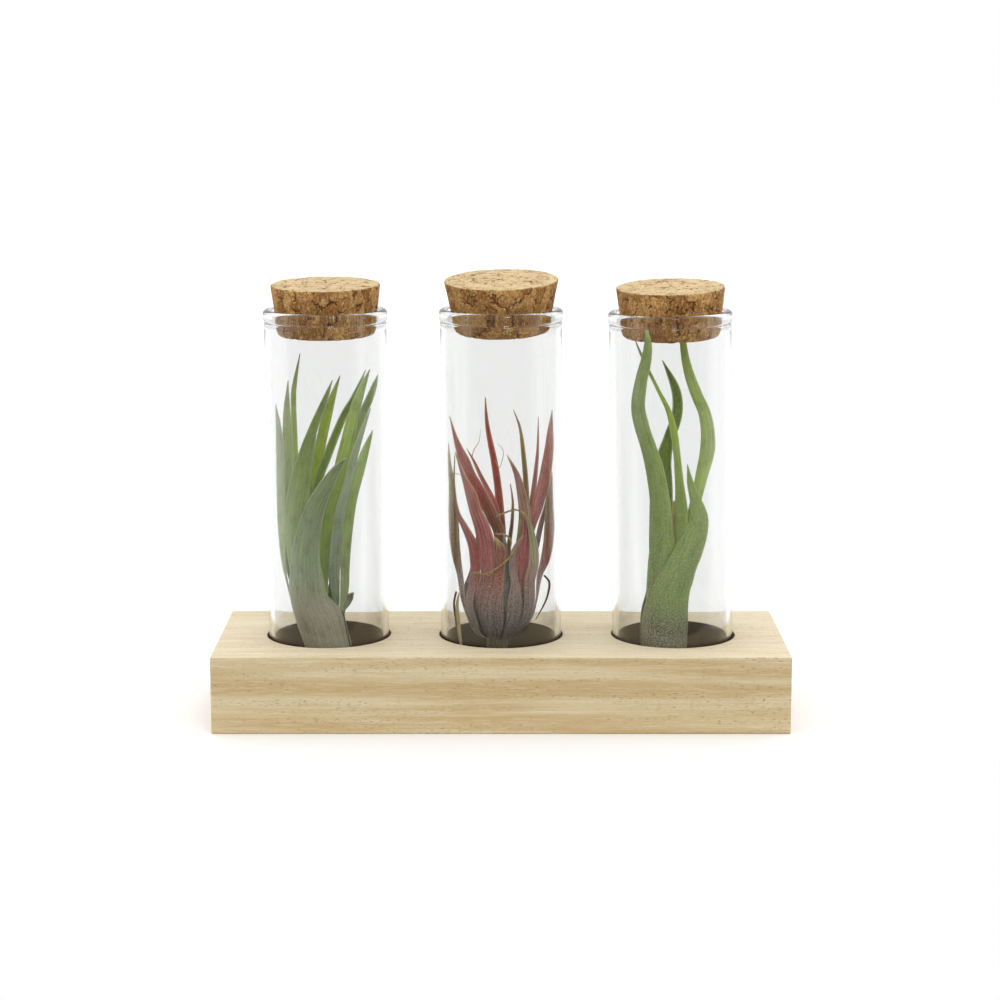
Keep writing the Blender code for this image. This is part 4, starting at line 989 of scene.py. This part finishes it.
twistedLeaves = {
    "twisted_leaf_front_right": {"base": (-80, 0, 80, -80), "cup": 30, "rim": ("umber", -1.0, 0.25, 0.42),
        "tones": "fern leafGreen leafGreen leafGreen", "rise": [
        (-0.2, -6.3, 31.3, 10.0), (0.86, -6.8, 34.4, 8.9), (2.3, -7.1, 38.3, 7.7), (3.85, -7.0, 42.2, 7.0),
        (5.2, -6.9, 46.0, 5.6), (5.7, -6.6, 49.6, 4.6), (4.8, -6.2, 53.8, 3.0), (3.4, -5.8, 58.4, 1.7),
        (2.6, -5.6, 62.9, 0.2)]},
    "twisted_leaf_front_left": {"base": (-125, 1.2, 74, -112), "cup": 30,
        "tones": "fern leafGreen leafGreen leafLight", "rise": [
        (-4.64, -3.65, 34.1, 7.7), (-4.13, -4.6, 41.6, 7.1), (-4.09, -5.2, 46.5, 6.2),
        (-4.29, -5.9, 51.5, 5.6), (-4.89, -6.5, 56.8, 5.1), (-5.89, -7.0, 62.4, 4.6), (-7.3, -7.5, 67.6, 4.0),
        (-8.85, -7.9, 72.6, 3.8), (-9.7, -8.2, 77.6, 3.5), (-9.1, -9.0, 83.6, 3.1), (-8.1, -10.0, 88.4, 2.7),
        (-7.6, -10.9, 92.6, 2.0), (-7.9, -11.0, 96.4, 0.7)]},
    "twisted_leaf_right_arm": {"base": (12, 1, 56, -80), "cup": 35,
        "tones": "fern leafLight leafLight leafBright", "rise": [
        (3.2, 0.6, 34.0, 4.6), (4.5, -0.5, 41.0, 4.7), (5.0, -1.2, 48.0, 4.8), (6.2, -1.4, 55.1, 4.0),
        (7.2, -1.4, 60.4, 3.8), (8.1, -1.4, 65.6, 3.9), (8.0, -1.4, 70.6, 3.6), (7.1, -1.4, 75.0, 3.1),
        (5.3, -1.4, 79.0, 2.9), (3.5, -1.4, 83.6, 2.6), (2.2, -1.5, 88.2, 2.1), (1.4, -1.6, 93.0, 1.6)]},
    "twisted_leaf_middle_thin": {"base": (-64, 2.6, 40, -90), "cup": 35,
        "tones": "fernDark leafGreen leafBright leafBright", "rise": [
        (1.2, -2.3, 36.5, 2.6), (1.6, -4.0, 44.8, 2.7), (1.6, -3.9, 50.6, 3.3), (1.0, -3.8, 57.2, 2.3),
        (0.3, -3.4, 64.2, 1.8), (-0.6, -3.1, 70.6, 1.8), (-2.0, -2.8, 75.8, 1.3), (-4.4, -2.6, 80.6, 0.9),
        (-7.0, -2.4, 85.8, 0.8), (-9.0, -2.0, 90.0, 0.6), (-10.2, -1.8, 92.8, 0.2)]},
    "twisted_leaf_back_curl": {"base": (90, 0, 36, 90), "cup": 30,
        "tones": "leafDark leafDark leafDark leafDark", "rise": [
        (-1.3, 3.4, 37.4, 3.0), (-1.4, 2.4, 47.6, 2.6), (-1.8, 2.0, 56.4, 2.8), (-2.6, 1.8, 63.0, 3.6),
        (-1.5, 1.8, 68.0, 2.9), (0.3, 1.8, 73.4, 2.7), (0.5, 1.8, 78.1, 2.5), (-0.6, 1.8, 82.1, 1.9),
        (-3.3, 1.8, 87.6, 0.2)]},
    "twisted_leaf_back_left": {"base": (151, 0, 18, 170), "tones": "fernDark leafDark leafGreen leafDark", "rise": [
        (-5.7, 1.9, 33.0, 2.3), (-5.9, 0.6, 42.8, 2.2), (-5.9, 0.2, 49.0, 1.6), (-6.0, 0.2, 55.9, 0.2)]},
    "twisted_leaf_inner": {"base": (40, 2, 30, 60), "tones": "fernDark leafGreen tan tan", "rise": [
        (-0.4, 0.8, 33.0, 2.0), (-0.1, -0.4, 42.0, 2.1), (0.2, -0.9, 48.0, 2.0), (-0.2, -1.2, 53.0, 0.8)]},
}


def makePlant(side, leaves, slot, title):
    finish = leafFinish(title, plantLooks[side])
    for number, (name, spec) in enumerate(leaves.items()):
        dry = name == "red_leaf_dry"
        makeLeaf(name, side, spec, number + 1.0, finish, "dry_thread" if dry else slot)
    print(title, "has", len(leaves), "leaves")


makePlant("left", greenLeaves, "green_leaf", "greenLeaf")
makePlant("middle", redLeaves, "red_leaf", "redLeaf")
makePlant("right", twistedLeaves, "twisted_leaf", "twistedLeaf")


# Stems: short woody stubs that the leaf bases grow from.

stemLook = {
    "sides": 32, "ring": 0.5, "ridge": 0.1,
    "stems": {
        "green_stem": ("left", [(1.7, 0.0, 6.4, 1.4), (0.8, 0.0, 12.0, 1.6), (-0.5, 0.0, 17.0, 1.2)]),
        "red_stem": ("middle", [
            (-0.9, 0.0, 6.5, 2.2), (-0.9, 0.0, 12.0, 2.2), (-0.9, 0.0, 17.4, 2.8), (-0.8, 0.0, 19.2, 1.7),
            (-0.7, 0.0, 24.0, 1.2)]),
        "twisted_stem": ("right", [(-2.2, 0.0, 6.5, 1.6), (-2.3, 0.0, 13.0, 1.8), (-2.3, 0.0, 20.0, 1.4)]),
    },
}


def stemFinish():
    made, tree, shader = startMaterial("dryStem", 0.8)
    bark = speckle(tree, millimetres(tree, (2.4, 2.4, 0.5)), 1.0, 4.0, 0.6, 0.5)
    blotch = speckle(tree, millimetres(tree), 0.7, 3.0, 0.6)
    colour = mixed(tree, remap(tree, bark, 0.3, 0.7), paint(100, 80, 58), paint(184, 162, 126))
    colour = mixed(tree, remap(tree, blotch, 0.45, 0.65, 0.0, 0.6), colour, paint(112, 110, 86))
    plug(tree, shader.inputs["Base Color"], colour)
    bumped(tree, shader, bark, 0.2, 0.8)
    return made


def makeStems(look):
    finish = stemFinish()
    for name, (side, route) in look["stems"].items():
        places, _ = evenPlaces(route, look["ring"])
        points, rings = [], []
        for place in places:
            x, y, z, radius = flow(route, place)
            row = []
            for step in range(look["sides"]):
                angle = 2.0 * math.pi * step / look["sides"]
                dent = noise.noise(Vector((math.cos(angle) * 2.0, math.sin(angle) * 2.0, z * 0.6)))
                bulge = radius - look["ridge"] + look["ridge"] * dent
                row.append(len(points))
                points.append((x + tubeX[side] + bulge * math.cos(angle), y + bulge * math.sin(angle), z))
            rings.append(row)
        faces = [rings[0][::-1], rings[-1]] + ringFaces(rings)
        piece = meshPiece(name + "_finish", points, faces)
        piece.data.set_sharp_from_angle(angle=math.radians(50))
        piece.data.materials.append(finish)
        settle(piece, "stem", name)


makeStems(stemLook)
print("stems done")


# Roots, loose strands, and dry hairs between the leaves.

threadLook = {
    "sides": 8, "step": 0.35, "girth": 0.24, "stray": 0.12, "thinnest": 0.03, "bright": 1.3,
    "taper": 0.6, "seed": 5,
    "replaced": {
        "red_root_left": [
            (-10.9, -3.6, 30.6), (-11.4, -3.4, 27.6), (-11.3, -2.6, 24.4), (-11.0, -1.8, 20.6), (-10.4, -0.6, 14.0),
            (-8.0, 0.4, 8.0)],
        "red_root_right": [
            (10.4, -5.0, 35.0), (11.6, -5.0, 33.2), (11.2, -5.2, 30.2), (10.0, -5.4, 26.8), (8.4, -6.0, 24.0)],
        "red_strand_crossing": [
            (-8.2, -6.6, 33.6), (-6.6, -8.6, 36.4), (-3.7, -9.6, 36.2), (-1.4, -9.8, 37.6), (1.9, -9.6, 40.3),
            (3.6, -9.0, 43.0), (5.0, -8.4, 45.2)],
        "red_strand_loop": [
            (-1.1, -7.2, 50.2), (1.4, -7.4, 51.4), (3.0, -7.4, 51.9), (4.4, -7.2, 51.6), (6.1, -6.9, 50.0),
            (7.4, -6.8, 47.6)],
        "red_strand_curl": [(-1.3, -8.7, 46.2), (1.2, -8.6, 45.8), (2.4, -8.5, 44.2), (2.2, -8.6, 42.3)],
    },
    "tones": {
        "red_root_left": "barkDark", "red_root_right": "barkDark", "red_strand_crossing": "tan",
        "red_strand_loop": "tan", "red_strand_curl": "tan",
    },
    "hairs": [
        [(-7.2, -1.4, 63.6, 0.13), (-6.6, -1.5, 66.0, 0.09), (-5.4, -1.4, 67.8, 0.07), (-5.0, -1.2, 71.0, 0.04)],
        [(-1.5, 1.2, 62.6, 0.1), (-0.4, 1.0, 60.9, 0.07), (0.6, 0.9, 63.9, 0.07), (0.4, 0.9, 65.8, 0.06),
            (-0.9, 1.0, 67.0, 0.04)],
        [(10.4, -3.2, 63.0, 0.08), (11.6, -3.4, 61.0, 0.07), (12.0, -3.5, 58.2, 0.05)],
        [(-12.2, -4.2, 58.6, 0.07), (-11.2, -4.8, 60.4, 0.08), (-9.6, -5.4, 60.2, 0.05)],
    ],
}


def threadGraph():
    # a round thread along every line of a mesh, as thick as its girth there
    tree, given = startGraph("roundThread", Sides="Int", Finish="Material")
    girth = node(tree, "GeometryNodeInputNamedAttribute", {"Name": "girth"}, data_type="FLOAT").outputs["Attribute"]
    line = node(tree, "GeometryNodeMeshToCurve", {"Mesh": given["Geometry"]}).outputs["Curve"]
    thick = node(tree, "GeometryNodeSetCurveRadius", {"Curve": line, "Radius": girth}).outputs["Curve"]
    circle = node(tree, "GeometryNodeCurvePrimitiveCircle", {"Resolution": given["Sides"], "Radius": 1.0})
    skin = node(tree, "GeometryNodeCurveToMesh", {
        "Curve": thick, "Profile Curve": circle.outputs["Curve"], "Scale": girth, "Fill Caps": True})
    smooth = node(tree, "GeometryNodeSetShadeSmooth", {"Geometry": skin.outputs["Mesh"]})
    return endGraph(tree, smooth.outputs["Geometry"], given["Finish"])


def threadFinish(name, tone):
    made, tree, shader = startMaterial(name, 0.7)
    streak = speckle(tree, millimetres(tree), 1.6, 3.0, 0.6)
    dark = [part * 0.55 for part in tone]
    pale = [min(1.0, part * 1.35) for part in tone]
    plug(tree, shader.inputs["Base Color"], mixed(tree, remap(tree, streak, 0.35, 0.65), dark, pale))
    bumped(tree, shader, streak, 0.06, 0.6)
    return made


def threadPiece(name, side, routes, graph, finish):
    # routes are lists of points, each with its girth in millimetres
    look = threadLook
    points, edges, girths = [], [], []
    for number, route in enumerate(routes):
        places, _ = evenPlaces(route, look["step"])
        for index, place in enumerate(places):
            x, y, z, girth = flow(route, place)
            wander = Vector((index * look["step"] * 0.35, number * 4.1, len(name) * 1.7))
            shake = noise.noise_vector(wander) * look["stray"] * min(1.0, index * 0.2)
            if index:
                edges.append((len(points) - 1, len(points)))
            points.append((x + tubeX[side] + shake.x, y + shake.y * 0.4, z + shake.z))
            girths.append(max(look["thinnest"], girth) * mm)
    piece = meshPiece(name, points, [], edges)
    piece.data.attributes.new("girth", "FLOAT", "POINT").data.foreach_set("value", girths)
    return runGraph(piece, graph, Sides=look["sides"], Finish=finish)


def makeThreads(look):
    # vector noise is random from run to run unless its seed is set
    noise.seed_set(look["seed"])
    graph = threadGraph()
    finishes = {}
    for name, route in look["replaced"].items():
        tone = look["tones"][name]
        if tone not in finishes:
            finishes[tone] = threadFinish("dryStrand_" + tone, leafPaint(tone, look["bright"]))
        count = len(route) - 1
        girths = [look["girth"] * (1.0 - look["taper"] * (index / count) ** 3) for index in range(count + 1)]
        route = [(*spot, girth) for spot, girth in zip(route, girths)]
        piece = threadPiece(name + "_finish", "middle", [route], graph, finishes[tone])
        settle(piece, "dry_thread", name)
    hairs = threadPiece("red_dry_hairs", "middle", look["hairs"], graph, finishes["tan"])
    settle(hairs, "dry_thread")


makeThreads(threadLook)
print("roots and strands done")


# Compare each replacing piece's box with its node's box.

def checkBoxes(limit):
    for piece in bpy.context.scene.objects:
        if not piece.name.endswith("_finish"):
            continue
        low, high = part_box(piece.name.removesuffix("_finish"))
        corners = [vertex.co for vertex in piece.data.vertices]
        gap = 0.0
        for axis in range(3):
            values = [corner[axis] for corner in corners]
            gap = max(gap, abs(min(values) - low[axis]), abs(max(values) - high[axis]))
        if gap > limit:
            print("box differs:", piece.name, round(gap * 1000.0, 2), "mm")


checkBoxes(0.0006)
total = sum(len(polygon.vertices) - 2 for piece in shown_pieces() for polygon in piece.data.polygons)
print("triangles:", total)
